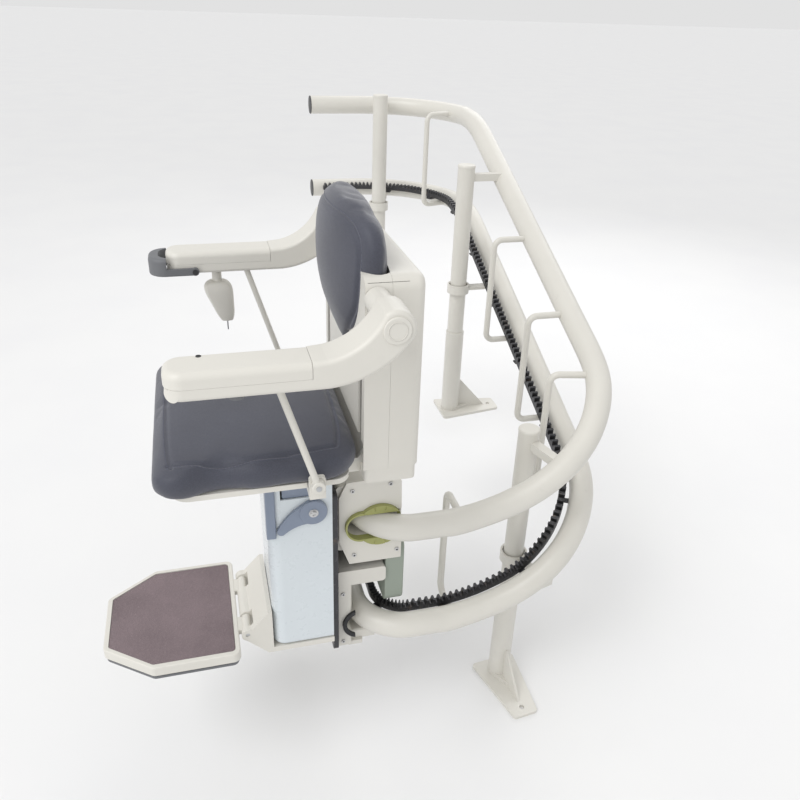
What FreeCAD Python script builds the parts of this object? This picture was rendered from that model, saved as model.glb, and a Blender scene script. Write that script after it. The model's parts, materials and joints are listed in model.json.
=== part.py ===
"""Curved-rail stairlift chair: twin-tube rail on three posts, drive carriage, folding seat, arms and footrest.

Millimetres. The chair faces -Y, its left side is +X, and +Z is up. The shapes are built in the chair's
own frame, with X = 0 on the chair's centre plane, Y = 0 at the armrest tips and Z = 0 on the lowest floor.
Each node is moved at the end so that the foot of the low post becomes the origin.
"""
import FreeCAD
import Part

import math
import os

V = FreeCAD.Vector

# Heights above the lowest floor
ARM_Z = 1085.0
SEAT_TOP_Z = 928.0
FOOTREST_TOP_Z = 402.0
LOW_RUN_Z = 624.0
MIDDLE_FLOOR_Z = 425.0
HIGH_FLOOR_Z = 548.0

# Rail path in plan
TUBE_R = 28.5
TUBE_BORE_R = 25.0
TUBE_SPACING = 275.0
RUN_Y = 345.0
RUN_START_X = -420.0
FIRST_BEND_R = 115.0
RAIL_MAX_X = 95.0
SECOND_BEND_R = 210.0
SLOPE_Y = 930.0
TOP_BEND_X = -1072.0
TOP_BEND_R = 307.0
RAIL_END_Y = 477.0

# Climb of the rail: (distance along its plan line from the end of the first bend, slope there)
CLIMB_START = 55.0
CREST_END = 1570.0
STAIR_GRADE = 0.449
CLIMB = ((CLIMB_START, 0.0), (285.0, 0.62), (520.0, 0.62), (600.0, STAIR_GRADE), (1390.0, STAIR_GRADE), (CREST_END, 0.0))
PATH_STEP = 70.0

# Rack and pinion
MODULE = 5.0
PITCH = math.pi * MODULE
PRESSURE_ANGLE = math.radians(20)
RACK_SIDE = 46.0
RACK_WIDTH = 16.0
RACK_PITCH_LINE = 21.0
RACK_BASE = 3.0
RACK_ADDENDUM = 3.5
RACK_DEDENDUM = 6.25
BACKLASH = 0.6
PINION_TEETH = 12
PINION_R = MODULE * PINION_TEETH / 2
PINION_X = -60.0
PINION_WIDTH = 13.0

# Posts
POST_R = 24.0
SLEEVE_R = 27.5
POST_WALL = 3.0
LOW_POST = V(-22, 748, 0)
MIDDLE_POST = V(-727, 812, MIDDLE_FLOOR_Z)
HIGH_POST = V(-1250, 688, HIGH_FLOOR_Z)
POSTS = ((LOW_POST, math.radians(6)), (MIDDLE_POST, math.radians(90)), (HIGH_POST, math.radians(60)))
FOOT_LENGTH = 194.0
FOOT_WIDE = 124.0
FOOT_NARROW = 66.0
FOOT_THICK = 8.0
FOOT_HOLE_R = 6.5
FOOT_POST_IN = 38.0
FOOT_HOLE_IN = 24.0
TIE_R = 8.0
TIE_SIDE = 108.0
TIE_PLACES = (100.0, 545.0, 720.0, 975.0, 1636.0)
STANDOFF_GAP = 210.0

# Chair
ARM_X = 285.5
ARM_W = 71.0
ARM_PIVOT = V(0, 340, 1173)
STRUT = V(0, 66, -218)
STRUT_TOP = V(0, 160, 1095)
STRUT_X = 267.0
STRUT_R = 6.0
PIN_R = 5.0
RUNNING_GAP = 0.05
SEAT_HINGE = ARM_PIVOT + STRUT
STRUT_FOOT = STRUT_TOP + STRUT
PAN_Z = 846.0
BACK_HALF = 190.0
BACK_FRONT_Y = 320.0
BACK_SEAM_Y = 366.0
BACK_REAR_Y = 424.0
BACK_PAD_DISH = 12.0
SEAT_MOUTH_TOP = 900.0
PADDLE_PIN = V(0, 58, ARM_Z + 7)

# Carriage
HOUSING_HALF = 100.0
HOUSING_FRONT_Y = 148.0
HOUSING_REAR_Y = 278.0
HOUSING_BOTTOM_Z = 354.0
HOUSING_TOP_Z = 778.0
SWIVEL_Y = 215.0
TRAVEL_GAP = 2.5
ROLLER_X = -40.0
ROLLER_R = 11.0
FOOT_HINGE = V(0, 94, 400)
KNUCKLES = (-82.0, 42.0)


def box(x0, x1, y0, y1, z0, z1):
    """Box between two corners."""
    return Part.makeBox(x1 - x0, y1 - y0, z1 - z0, V(x0, y0, z0))


def rod(start, end, radius):
    """Cylinder from one point to another."""
    return Part.makeCylinder(radius, (end - start).Length, start, end - start)


def tube_between(start, end, radius, bore):
    """Hollow cylinder from one point to another."""
    return rod(start, end, radius).cut(rod(start, end, bore))


def prism(points, push):
    """Flat outline of straight sides, pushed along a vector."""
    face = Part.Face(Part.makePolygon(points + [points[0]]))
    return face.extrude(push)


def arc(a, b, c):
    """Arc edge through three points."""
    return Part.Arc(a, b, c).toShape()


def line(a, b):
    """Straight edge."""
    return Part.LineSegment(a, b).toShape()


def rounded_box(x0, x1, y0, y1, z0, z1, radius, axis):
    """Box with the four edges along one axis rounded."""
    solid = box(x0, x1, y0, y1, z0, z1)
    picked = []
    for edge in solid.Edges:
        way = edge.Vertexes[1].Point - edge.Vertexes[0].Point
        if way.cross(axis).Length < 1e-6:
            picked.append(edge)
    return solid.makeFillet(radius, picked)


def soften(solid, radius, keep=None):
    """Rounds the edges that a test picks, or all of them."""
    edges = solid.Edges
    if keep:
        edges = [e for e in edges if keep(e)]
    return solid.makeFillet(radius, edges)


def mirrored(shape):
    """The same shape on the other side of the chair's centre plane."""
    return shape.mirror(V(0, 0, 0), V(1, 0, 0))


# Rail path

FIRST_CENTRE = V(RAIL_MAX_X - FIRST_BEND_R, RUN_Y + FIRST_BEND_R, 0)
SECOND_CENTRE = V(RAIL_MAX_X - SECOND_BEND_R, SLOPE_Y - SECOND_BEND_R, 0)
TOP_CENTRE = V(TOP_BEND_X, SLOPE_Y - TOP_BEND_R, 0)
RUN_LENGTH = FIRST_CENTRE.x - RUN_START_X
FIRST_LENGTH = FIRST_BEND_R * math.pi / 2
MIDDLE_LENGTH = SECOND_CENTRE.y - FIRST_CENTRE.y
SECOND_LENGTH = SECOND_BEND_R * math.pi / 2
SLOPE_LENGTH = SECOND_CENTRE.x - TOP_BEND_X
TOP_LENGTH = TOP_BEND_R * math.pi / 2
END_LENGTH = TOP_CENTRE.y - RAIL_END_Y
PATH_START = -(FIRST_LENGTH + RUN_LENGTH)
PATH_END = MIDDLE_LENGTH + SECOND_LENGTH + SLOPE_LENGTH + TOP_LENGTH + END_LENGTH


def plan_point(s):
    """Plan position and heading at a distance from the end of the first bend."""
    if s < -FIRST_LENGTH:
        return V(FIRST_CENTRE.x + s + FIRST_LENGTH, RUN_Y, 0), 0.0
    if s < 0:
        turn = (s + FIRST_LENGTH) / FIRST_BEND_R
        return FIRST_CENTRE + FIRST_BEND_R * V(math.sin(turn), -math.cos(turn), 0), turn
    if s < MIDDLE_LENGTH:
        return V(RAIL_MAX_X, FIRST_CENTRE.y + s, 0), math.pi / 2
    s -= MIDDLE_LENGTH
    if s < SECOND_LENGTH:
        turn = s / SECOND_BEND_R
        return SECOND_CENTRE + SECOND_BEND_R * V(math.cos(turn), math.sin(turn), 0), math.pi / 2 + turn
    s -= SECOND_LENGTH
    if s < SLOPE_LENGTH:
        return V(SECOND_CENTRE.x - s, SLOPE_Y, 0), math.pi
    s -= SLOPE_LENGTH
    if s < TOP_LENGTH:
        turn = s / TOP_BEND_R
        return TOP_CENTRE + TOP_BEND_R * V(-math.sin(turn), math.cos(turn), 0), math.pi + turn
    s -= TOP_LENGTH
    return V(TOP_BEND_X - TOP_BEND_R, TOP_CENTRE.y - s, 0), 1.5 * math.pi


def grade(s):
    """Slope of the rail, which changes evenly between the places in CLIMB."""
    for (start, low), (end, high) in zip(CLIMB, CLIMB[1:]):
        if start < s < end:
            return low + (high - low) * (s - start) / (end - start)
    return 0.0


def climb(s):
    """Height gained since the low level run."""
    rise = 0.0
    for (start, low), (end, high) in zip(CLIMB, CLIMB[1:]):
        run = min(max(s - start, 0.0), end - start)
        rise += low * run + (high - low) * run * run / (2 * (end - start))
    return rise


def rail_point(s, side=0.0, up=0.0):
    """Point beside the upper tube's line: side is towards the inside of the loop, up is vertical."""
    place, heading = plan_point(s)
    inward = V(-math.sin(heading), math.cos(heading), 0)
    return place + side * inward + V(0, 0, LOW_RUN_Z + climb(s) + up)


def rail_inward(s):
    """Direction towards the inside of the loop."""
    heading = plan_point(s)[1]
    return V(-math.sin(heading), math.cos(heading), 0)


def stations(start, end, step):
    """Evenly spaced distances from start to end."""
    count = max(2, int(math.ceil((end - start) / step)))
    return [start + (end - start) * i / count for i in range(count + 1)]


def ring_at(s, up, radius):
    """Circle round the rail's line, square to it."""
    heading = plan_point(s)[1]
    along = V(math.cos(heading), math.sin(heading), grade(s))
    place = FreeCAD.Placement(rail_point(s, 0, up), FreeCAD.Rotation(rail_inward(s), V(), along, "ZXY"))
    ring = Part.Wire(Part.makeCircle(radius))
    ring.Placement = place
    return ring


def swept(radius, up):
    """Round bar along the rail: level run, first bend, climb, top bend and end."""
    start, corner = rail_point(PATH_START, 0, up), rail_point(-FIRST_LENGTH, 0, up)
    level, climb_foot = rail_point(0, 0, up), rail_point(CLIMB_START, 0, up)
    bend = Part.Face(Part.Wire(Part.makeCircle(radius, corner, V(1, 0, 0))))
    bend = bend.revolve(V(FIRST_CENTRE.x, FIRST_CENTRE.y, corner.z), V(0, 0, 1), 90)
    rings = [ring_at(s, up, radius) for s in stations(CLIMB_START, CREST_END, PATH_STEP)]
    slope = Part.makeLoft(rings, True, False)
    crest, exit_point = rail_point(CREST_END, 0, up), rail_point(PATH_END - END_LENGTH, 0, up)
    top_turn = math.degrees((PATH_END - END_LENGTH - CREST_END) / TOP_BEND_R)
    heading = plan_point(CREST_END)[1]
    top = Part.Face(Part.Wire(Part.makeCircle(radius, crest, V(math.cos(heading), math.sin(heading), 0))))
    top = top.revolve(V(TOP_CENTRE.x, TOP_CENTRE.y, crest.z), V(0, 0, 1), top_turn)
    end = rod(exit_point, rail_point(PATH_END, 0, up), radius)
    pieces = [bend, rod(level, climb_foot, radius), slope, top, end]
    return rod(start, corner, radius).fuse(pieces)


def end_plugs():
    """Plastic plugs in the four tube ends."""
    plugs = []
    for up in (0, -TUBE_SPACING):
        for s, way in ((PATH_START, -1), (PATH_END, 1)):
            heading = plan_point(s)[1]
            along = way * V(math.cos(heading), math.sin(heading), 0)
            face = rail_point(s, 0, up)
            lid = rod(face, face + 3 * along, TUBE_R)
            plug = rod(face - 12 * along, face, TUBE_BORE_R - 0.1)
            plugs.append(soften(lid, 1.2, lambda e: e.Curve.TypeId == "Part::GeomCircle"
                                and (e.CenterOfMass - face).Length > 2).fuse(plug))
    return Part.makeCompound(plugs)


def patch(points):
    """One flat face through the points, or a fan of triangles where they don't lie flat."""
    normal = (points[1] - points[0]).cross(points[2] - points[0])
    normal.normalize()
    if max(abs((p - points[0]).dot(normal)) for p in points) < 1e-5:
        return [Part.Face(Part.makePolygon(points + [points[0]]))]
    fans = []
    for i in range(1, len(points) - 1):
        corner = [points[0], points[i], points[i + 1], points[0]]
        fans.append(Part.Face(Part.makePolygon(corner)))
    return fans


def rack_profile():
    """Height of the rack's top over one pitch, as pairs of (share of the pitch, height)."""
    slope = math.tan(PRESSURE_ANGLE)
    half_tip = (PITCH / 4 - BACKLASH / 2 - RACK_ADDENDUM * slope) / PITCH
    half_root = (PITCH / 4 - BACKLASH / 2 + RACK_DEDENDUM * slope) / PITCH
    tip = RACK_PITCH_LINE + RACK_ADDENDUM
    root = RACK_PITCH_LINE - RACK_DEDENDUM
    return [(0.5 - half_root, root), (0.5 - half_tip, tip), (0.5 + half_tip, tip), (0.5 + half_root, root)]


def gear_rack():
    """Toothed bar that follows the inside of the lower tube, teeth up, one short flat link to each pitch."""
    start = PATH_START + 20
    count = int((PATH_END - 30 - start) / PITCH)
    shift = (PINION_X - rail_point(start).x) % PITCH
    start += shift - PITCH / 2 if shift > PITCH / 2 else shift + PITCH / 2
    root = RACK_PITCH_LINE - RACK_DEDENDUM
    sides = (RACK_SIDE - RACK_WIDTH / 2, RACK_SIDE + RACK_WIDTH / 2)

    def edge(s, side, height):
        tilt = math.atan(grade(s))
        heading = plan_point(s)[1]
        lean = V(-math.sin(tilt) * math.cos(heading), -math.sin(tilt) * math.sin(heading), math.cos(tilt))
        return rail_point(s, side, -TUBE_SPACING) + height * lean

    faces = []
    for link in range(count):
        lines = []
        for side in sides:
            low = [edge(start + (link + k) * PITCH, side, RACK_BASE) for k in (0, 1)]
            high = [edge(start + (link + k) * PITCH, side, root) for k in (0, 1)]
            tall = [edge(start + (link + k) * PITCH, side, root + 1) - high[k] for k in (0, 1)]
            top = [high[0]]
            for share, height in rack_profile():
                foot = high[0] + share * (high[1] - high[0])
                top.append(foot + (height - root) * (tall[0] + share * (tall[1] - tall[0])))
            top.append(high[1])
            lines.append((low, top))
        (low_a, top_a), (low_b, top_b) = lines
        faces += patch([low_a[0], low_a[1]] + top_a[::-1])
        faces += patch([low_b[1], low_b[0]] + top_b)
        faces += patch([low_a[1], low_a[0], low_b[0], low_b[1]])
        for i in range(len(top_a) - 1):
            faces += patch([top_a[i], top_a[i + 1], top_b[i + 1], top_b[i]])
        if link == 0:
            faces += patch([low_b[0], low_a[0], top_a[0], top_b[0]])
        if link == count - 1:
            faces += patch([low_a[1], low_b[1], top_b[-1], top_a[-1]])
    shell = Part.makeShell(faces)
    shell.sewShape()
    solid = Part.makeSolid(shell)
    if solid.Volume < 0:
        solid.reverse()
    return solid


def rack_standoffs(tube):
    """Small blocks that hold the rack clear of the lower tube."""
    blocks = []
    for s in stations(PATH_START + 60, PATH_END - 80, STANDOFF_GAP):
        near = rail_point(s, TUBE_R - 4, -TUBE_SPACING)
        inward = rail_inward(s)
        along = inward.cross(V(0, 0, 1))
        foot = near - 9 * along + V(0, 0, RACK_BASE - 9)
        width = RACK_SIDE + RACK_WIDTH / 2 - TUBE_R + 4
        corners = [foot, foot + width * inward, foot + width * inward + 18 * along, foot + 18 * along]
        drop = climb(s + 10) - climb(s - 10)
        block = prism(corners, V(0, 0, 8.4 - abs(drop) / 2))
        blocks.append(block.cut(tube))
    return Part.makeCompound(blocks)


def tie_rod(s):
    """C-shaped rod that joins the two tubes and leaves room for the carriage inside the loop."""
    bend = 22.0
    drop = V(0, 0, -TUBE_SPACING - 10)
    inward = rail_inward(s)
    out_top = rail_point(s, TUBE_R - 3)
    top = rail_point(s, TIE_SIDE)
    low = top + drop
    down = V(0, 0, -1)
    corner = math.sqrt(0.5)
    a = top - bend * inward
    b = top - bend * (1 - corner) * inward + bend * (1 - corner) * down
    c = top + bend * down
    d = low - bend * down
    e = low - bend * (1 - corner) * inward - bend * (1 - corner) * down
    f = low - bend * inward
    spine = Part.Wire([line(out_top, a), arc(a, b, c), line(c, d), arc(d, e, f), line(f, out_top + drop)])
    ring = Part.Wire(Part.makeCircle(TIE_R, out_top, inward))
    return spine.makePipeShell([ring], True, False)


def tie_rods(tubes):
    """The rods that join the two tubes."""
    return Part.makeCompound([tie_rod(s).cut(tubes) for s in TIE_PLACES])


# Posts

def post_set(foot, rail_s, turn, tubes):
    """Post tube, sleeve, cap, foot and brackets of one post. turn is the direction of the foot's narrow end."""
    link = rail_point(rail_s)
    reach = V(link.x - foot.x, link.y - foot.y, 0)
    way = V(reach)
    way.normalize()
    across = V(-way.y, way.x, 0)
    top = link.z + 40
    sleeve_top = foot.z + 0.36 * (top - foot.z)
    base = V(foot.x, foot.y, foot.z + FOOT_THICK)
    post = tube_between(V(foot.x, foot.y, base.z + 60), V(foot.x, foot.y, top), POST_R, POST_R - POST_WALL)
    sleeve = tube_between(base, V(foot.x, foot.y, sleeve_top), SLEEVE_R, POST_R)
    collar = soften(sleeve, 1.2, lambda e: abs(e.CenterOfMass.z - sleeve_top) < 1 and e.Length > 160)
    lid = Part.makeCylinder(POST_R + 0.8, 7, V(foot.x, foot.y, top))
    lid = soften(lid, 4, lambda e: e.CenterOfMass.z > top + 6)
    lid = lid.fuse(Part.makeCylinder(POST_R - POST_WALL - 0.1, 15, V(foot.x, foot.y, top - 15)))
    return {
        "post_tubes": post,
        "post_sleeves": collar,
        "post_caps": lid,
        "foot_plates": foot_plate(base, turn),
        "upper_post_arms": upper_arm(foot, link, way, across).cut(tubes[0]),
        "lower_saddles": lower_saddle(foot, rail_s, way, across).cut(tubes[1]),
        "saddle_bolts": saddle_bolts(foot, rail_s, way, across),
    }


def upper_arm(foot, link, way, across):
    """Flat bar from the post to the upper tube."""
    start = V(foot.x, foot.y, link.z + 2) + 10 * way
    width = 11.0
    corners = [start - width * across, start + width * across]
    end = V(link.x, link.y, link.z + 2)
    corners += [end + width * across, end - width * across]
    bar = prism(corners, V(0, 0, 20))
    return bar.cut(Part.makeCylinder(POST_R, 200, V(foot.x, foot.y, link.z - 80)))


def saddle_level(rail_s):
    """Height of the lower saddle's bar."""
    return rail_point(rail_s).z - TUBE_SPACING - TUBE_R - 14


def lower_saddle(foot, rail_s, way, across):
    """Bar under the lower tube with a strap up to the tube and a clip on the post."""
    z = saddle_level(rail_s)
    centre = rail_point(rail_s)
    start = V(foot.x, foot.y, z) + 10 * way
    end = V(centre.x, centre.y, z) + 14 * way
    corners = [start - 16 * across, start + 16 * across, end + 16 * across, end - 16 * across]
    bar = prism(corners, V(0, 0, 8))
    rest = V(centre.x, centre.y, z + 8) - 14 * way
    cradle = [rest - 16 * across, rest + 16 * across, end + 16 * across + V(0, 0, 8), end - 16 * across + V(0, 0, 8)]
    saddle = bar.fuse(prism(cradle, V(0, 0, 26)))
    saddle = saddle.cut(Part.makeCylinder(SLEEVE_R, 240, V(foot.x, foot.y, z - 120)))
    clip = Part.makeCylinder(SLEEVE_R + 5, 26, V(foot.x, foot.y, z - 9))
    clip = clip.cut(Part.makeCylinder(SLEEVE_R, 26, V(foot.x, foot.y, z - 9)))
    return saddle.fuse(clip).removeSplitter()


def saddle_bolts(foot, rail_s, way, across):
    """Two cap screws under the saddle."""
    z = saddle_level(rail_s)
    centre = rail_point(rail_s)
    heads = []
    for side in (-9, 9):
        place = V(centre.x, centre.y, z) + side * across
        heads.append(Part.makeCylinder(5, 5, place - V(0, 0, 5)))
    return Part.makeCompound(heads)


def foot_plate(base, turn):
    """Tapered plate with one bolt hole, and the gusset that braces the post."""
    along = V(math.cos(turn), math.sin(turn), 0)
    across = V(-along.y, along.x, 0)
    floor = base - V(0, 0, FOOT_THICK)
    wide = floor - FOOT_POST_IN * along
    narrow = wide + FOOT_LENGTH * along
    corners = [
        wide - FOOT_WIDE / 2 * across,
        narrow - FOOT_NARROW / 2 * across,
        narrow + FOOT_NARROW / 2 * across,
        wide + FOOT_WIDE / 2 * across,
    ]
    plate = prism(corners, V(0, 0, FOOT_THICK))
    plate = soften(plate, 9, lambda e: abs(e.Vertexes[0].Point.z - e.Vertexes[-1].Point.z) > 1)
    hole = narrow - FOOT_HOLE_IN * along
    plate = plate.cut(Part.makeCylinder(FOOT_HOLE_R, FOOT_THICK, hole))
    gusset_foot = base + (SLEEVE_R - 4) * along - 3 * across
    gusset = prism([gusset_foot, gusset_foot + 92 * along, gusset_foot + 8 * along + V(0, 0, 96),
                    gusset_foot + V(0, 0, 96)], 6 * across)
    shoe_foot = base - 30 * across + 0 * along
    shoe = prism([shoe_foot, base + 62 * along - 3 * across, base + 62 * along + 3 * across,
                  base + 30 * across], V(0, 0, 10))
    solid = plate.fuse(gusset).fuse(shoe)
    return solid.cut(Part.makeCylinder(SLEEVE_R, 400, base)).removeSplitter()


def nearest_station(point):
    """Distance along the rail whose plan point lies nearest to a point."""
    spots = stations(0, PATH_END, 4)
    return min(spots, key=lambda s: (plan_point(s)[0] - V(point.x, point.y, 0)).Length)


# Carriage

def travel_clearance():
    """Space that the upper tube needs in the carriage, from the straight run to the bend."""
    reach = TUBE_R + TRAVEL_GAP
    centre = V(FIRST_CENTRE.x, FIRST_CENTRE.y, LOW_RUN_Z - reach)
    inside = FIRST_BEND_R - reach
    left, right = RUN_Y - reach, RUN_Y + reach
    z = centre.z
    turn = centre + inside * V(math.sqrt(0.5), -math.sqrt(0.5), 0)
    exit_point = centre + V(inside, 0, 0)
    outline = Part.Wire([
        line(V(-200, left, z), V(150, left, z)),
        line(V(150, left, z), V(150, centre.y, z)),
        line(V(150, centre.y, z), exit_point),
        arc(exit_point, turn, V(centre.x, right, z)),
        line(V(centre.x, right, z), V(-200, right, z)),
        line(V(-200, right, z), V(-200, left, z)),
    ])
    slot = Part.Face(outline).extrude(V(0, 0, 2 * reach))
    return soften(slot, reach - 2, lambda e: abs(e.CenterOfMass.y - left) < 1
                  and abs(e.Vertexes[0].Point.x - e.Vertexes[-1].Point.x) > 10)


def upper_block_plate(space):
    """White cover plate of the upper roller block, with cut corners and the guide's opening."""
    low, high, left, right = 524, 738, 298, 434
    x = 56
    points = [V(x, left + 22, low), V(x, right, low), V(x, right, low + 60), V(x, right - 4, high - 14),
              V(x, right - 22, high), V(x, left + 16, high - 4), V(x, left, high - 40), V(x, left, low + 62)]
    plate = prism(points, V(8, 0, 0))
    return plate.cut(guide_outline(x - 1, 10, 0.5)).cut(space)


def guide_outline(x, depth, grow):
    """Two-lobed disc: a wide lobe round the bend and a small one round the straight run."""
    wide = Part.makeCylinder(50 + grow, depth, V(x, 384, LOW_RUN_Z), V(1, 0, 0))
    small = Part.makeCylinder(36 + grow, depth, V(x, RUN_Y + 1, LOW_RUN_Z), V(1, 0, 0))
    return wide.fuse(small)


def guide_ring(space):
    """Nylon guide with radial slots that lines the opening round the upper tube."""
    ring = guide_outline(56.1, 17, 0).cut(space)
    cuts = []
    for k in range(10):
        angle = math.radians(75 + 30 * k)
        way = V(0, math.cos(angle), math.sin(angle))
        centre = V(73, 384, LOW_RUN_Z)
        cuts.append(rod(centre + 40 * way, centre + 60 * way, 1.2))
    return ring.cut(cuts)


def upper_block(space):
    """Casting that carries the upper rollers on both sides of the tube."""
    block = rounded_box(-78, 56, 291.2, 430, 558, 722, 12, V(1, 0, 0))
    pockets = [roller_pocket(z) for z in roller_heights()[:2]]
    block = block.cut(space).cut(pockets)
    axles = [rod(V(ROLLER_X, 321, z), V(ROLLER_X, 369, z), 4) for z in roller_heights()[:2]]
    return block.cut(axles)


def roller_heights():
    """Axle heights of the rollers above and below the upper tube and below the lower one."""
    gap = TUBE_R + 0.3 + ROLLER_R
    return (LOW_RUN_Z + gap, LOW_RUN_Z - gap, LOW_RUN_Z - TUBE_SPACING - gap)


def roller_pocket(z):
    """Room round one roller."""
    return rod(V(ROLLER_X, RUN_Y - 17, z), V(ROLLER_X, RUN_Y + 17, z), 19)


def guide_roller(z):
    """Waisted roller that fits the tube, with its axle bore."""
    half = 15.0
    hollow = TUBE_R + 0.5
    sag = hollow - math.sqrt(hollow * hollow - half * half)
    top = ROLLER_R + sag
    points = (V(4 + RUNNING_GAP, -half, 0), V(top, -half, 0), V(ROLLER_R, 0, 0), V(top, half, 0),
              V(4 + RUNNING_GAP, half, 0))
    outline = Part.Wire([line(points[0], points[1]), arc(points[1], points[2], points[3]),
                         line(points[3], points[4]), line(points[4], points[0])])
    solid = Part.Face(outline).revolve(V(0, 0, 0), V(0, 1, 0), 360)
    solid.translate(V(ROLLER_X, RUN_Y, z))
    return solid


def roller_axles():
    """Axles of the three guide rollers."""
    pins = [rod(V(ROLLER_X, 321, z), V(ROLLER_X, 369, z), 4) for z in roller_heights()]
    return Part.makeCompound(pins)


def lower_bracket():
    """Casting that reaches round the lower tube and carries its roller and the pinion's bearing."""
    space = TUBE_R + TRAVEL_GAP
    column = rounded_box(-70, 62, 292, 326, 285, 462, 6, V(0, 0, 1))
    shelf = rounded_box(-78, 62, 292, 402, 462, 502, 8, V(1, 0, 0))
    foot = rounded_box(-70, 50, 326, 382, 285, 314, 6, V(0, 1, 0))
    pad = rounded_box(-20, 58, 318, 352, 279, 290, 3, V(0, 0, 1))
    solid = column.fuse([shelf, foot, pad])
    centre = V(FIRST_CENTRE.x, FIRST_CENTRE.y, LOW_RUN_Z - TUBE_SPACING)
    cuts = [rod(V(-200, RUN_Y, centre.z), V(150, RUN_Y, centre.z), space),
            Part.makeTorus(FIRST_BEND_R, space, centre, V(0, 0, 1)),
            roller_pocket(roller_heights()[2]),
            rod(V(ROLLER_X, 321, roller_heights()[2]), V(ROLLER_X, 369, roller_heights()[2]), 4)]
    return solid.cut(cuts).removeSplitter()


def lower_seal():
    """Rubber lip that wipes the lower tube."""
    z = LOW_RUN_Z - TUBE_SPACING
    ring = tube_between(V(62, RUN_Y, z), V(68, RUN_Y, z), TUBE_R + 12, TUBE_R + TRAVEL_GAP)
    ring = ring.common(box(60, 70, 290, RUN_Y - 12, z - 60, z + 60))
    return ring.cut(Part.makeTorus(FIRST_BEND_R, TUBE_R + 2, V(FIRST_CENTRE.x, FIRST_CENTRE.y, z), V(0, 0, 1)))


def carriage_frame():
    """Steel back plate of the carriage and the column that carries the chair."""
    plate = rounded_box(-88, 88, 280, 291, 300, 725, 12, V(0, 1, 0))
    column = rounded_box(-34, 34, SWIVEL_Y - 30, 291, 700, 790, 8, V(0, 0, 1))
    bore = Part.makeCylinder(22 + RUNNING_GAP, 70, V(0, SWIVEL_Y, 732))
    return plate.fuse(column).cut(bore).removeSplitter()


def carriage_housing():
    """Moulded cover of the drive and the batteries, open at the back, with a recess for the lever."""
    outer = box(-HOUSING_HALF, HOUSING_HALF, HOUSING_FRONT_Y, HOUSING_REAR_Y, HOUSING_BOTTOM_Z, HOUSING_TOP_Z)
    outer = soften(outer, 26, lambda e: e.CenterOfMass.y < HOUSING_FRONT_Y + 1
                   and abs(e.Vertexes[0].Point.z - e.Vertexes[-1].Point.z) > 1)
    outer = soften(outer, 12, lambda e: e.CenterOfMass.z < HOUSING_BOTTOM_Z + 0.5
                   and e.CenterOfMass.y < HOUSING_REAR_Y - 1)
    wall = 4
    inner = box(-HOUSING_HALF + wall, HOUSING_HALF - wall, HOUSING_FRONT_Y + wall, HOUSING_REAR_Y,
                HOUSING_BOTTOM_Z + wall, HOUSING_TOP_Z + 1)
    inner = soften(inner, 22, lambda e: e.CenterOfMass.y < HOUSING_FRONT_Y + wall + 1
                   and abs(e.Vertexes[0].Point.z - e.Vertexes[-1].Point.z) > 1)
    shell = outer.cut(inner)
    recess = box(60, HOUSING_HALF + 1, 176, 262, 738, HOUSING_TOP_Z + 1)
    boss = Part.makeCylinder(17, 6, V(HOUSING_HALF - wall, 239, 706), V(-1, 0, 0))
    bore = Part.makeCylinder(6 + RUNNING_GAP, 20, V(HOUSING_HALF + 1, 239, 706), V(-1, 0, 0))
    corner = box(79.7, HOUSING_HALF + 7, 140, 165.3, 651.7, HOUSING_TOP_Z + 1)
    return shell.cut(recess).cut(corner).fuse(boss).cut(bore).removeSplitter()


def lever_bracket():
    """Beige bracket behind the lever, with its upright guide bar."""
    plate = rounded_box(84, 95.5, 180, 258, 738.5, 776, 4, V(1, 0, 0))
    bar = rounded_box(80, HOUSING_HALF + 6, 146, 165, 652, 776, 3, V(0, 0, 1))
    return Part.makeCompound([plate, bar])


def swivel_lever():
    """Comma-shaped lever with a round head and a curved arm."""
    x = HOUSING_HALF + 1.5
    centre = V(x, 239, 706)
    head = Part.makeCylinder(28, 9, centre, V(1, 0, 0))
    head = soften(head, 2.5, lambda e: e.CenterOfMass.x > x + 8.5)
    top = centre + V(0, -18, 21)
    arm = Part.Wire([arc(top, centre + V(0, -44, 2), centre + V(0, -72, -34)),
                     arc(centre + V(0, -72, -34), centre + V(0, -70, -44), centre + V(0, -60, -46)),
                     arc(centre + V(0, -60, -46), centre + V(0, -34, -30), centre + V(0, 4, -26)),
                     line(centre + V(0, 4, -26), top)])
    solid = head.fuse(Part.Face(arm).extrude(V(7, 0, 0)))
    shaft = Part.makeCylinder(6, 15, centre, V(-1, 0, 0))
    return solid.fuse(shaft).removeSplitter()


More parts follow.
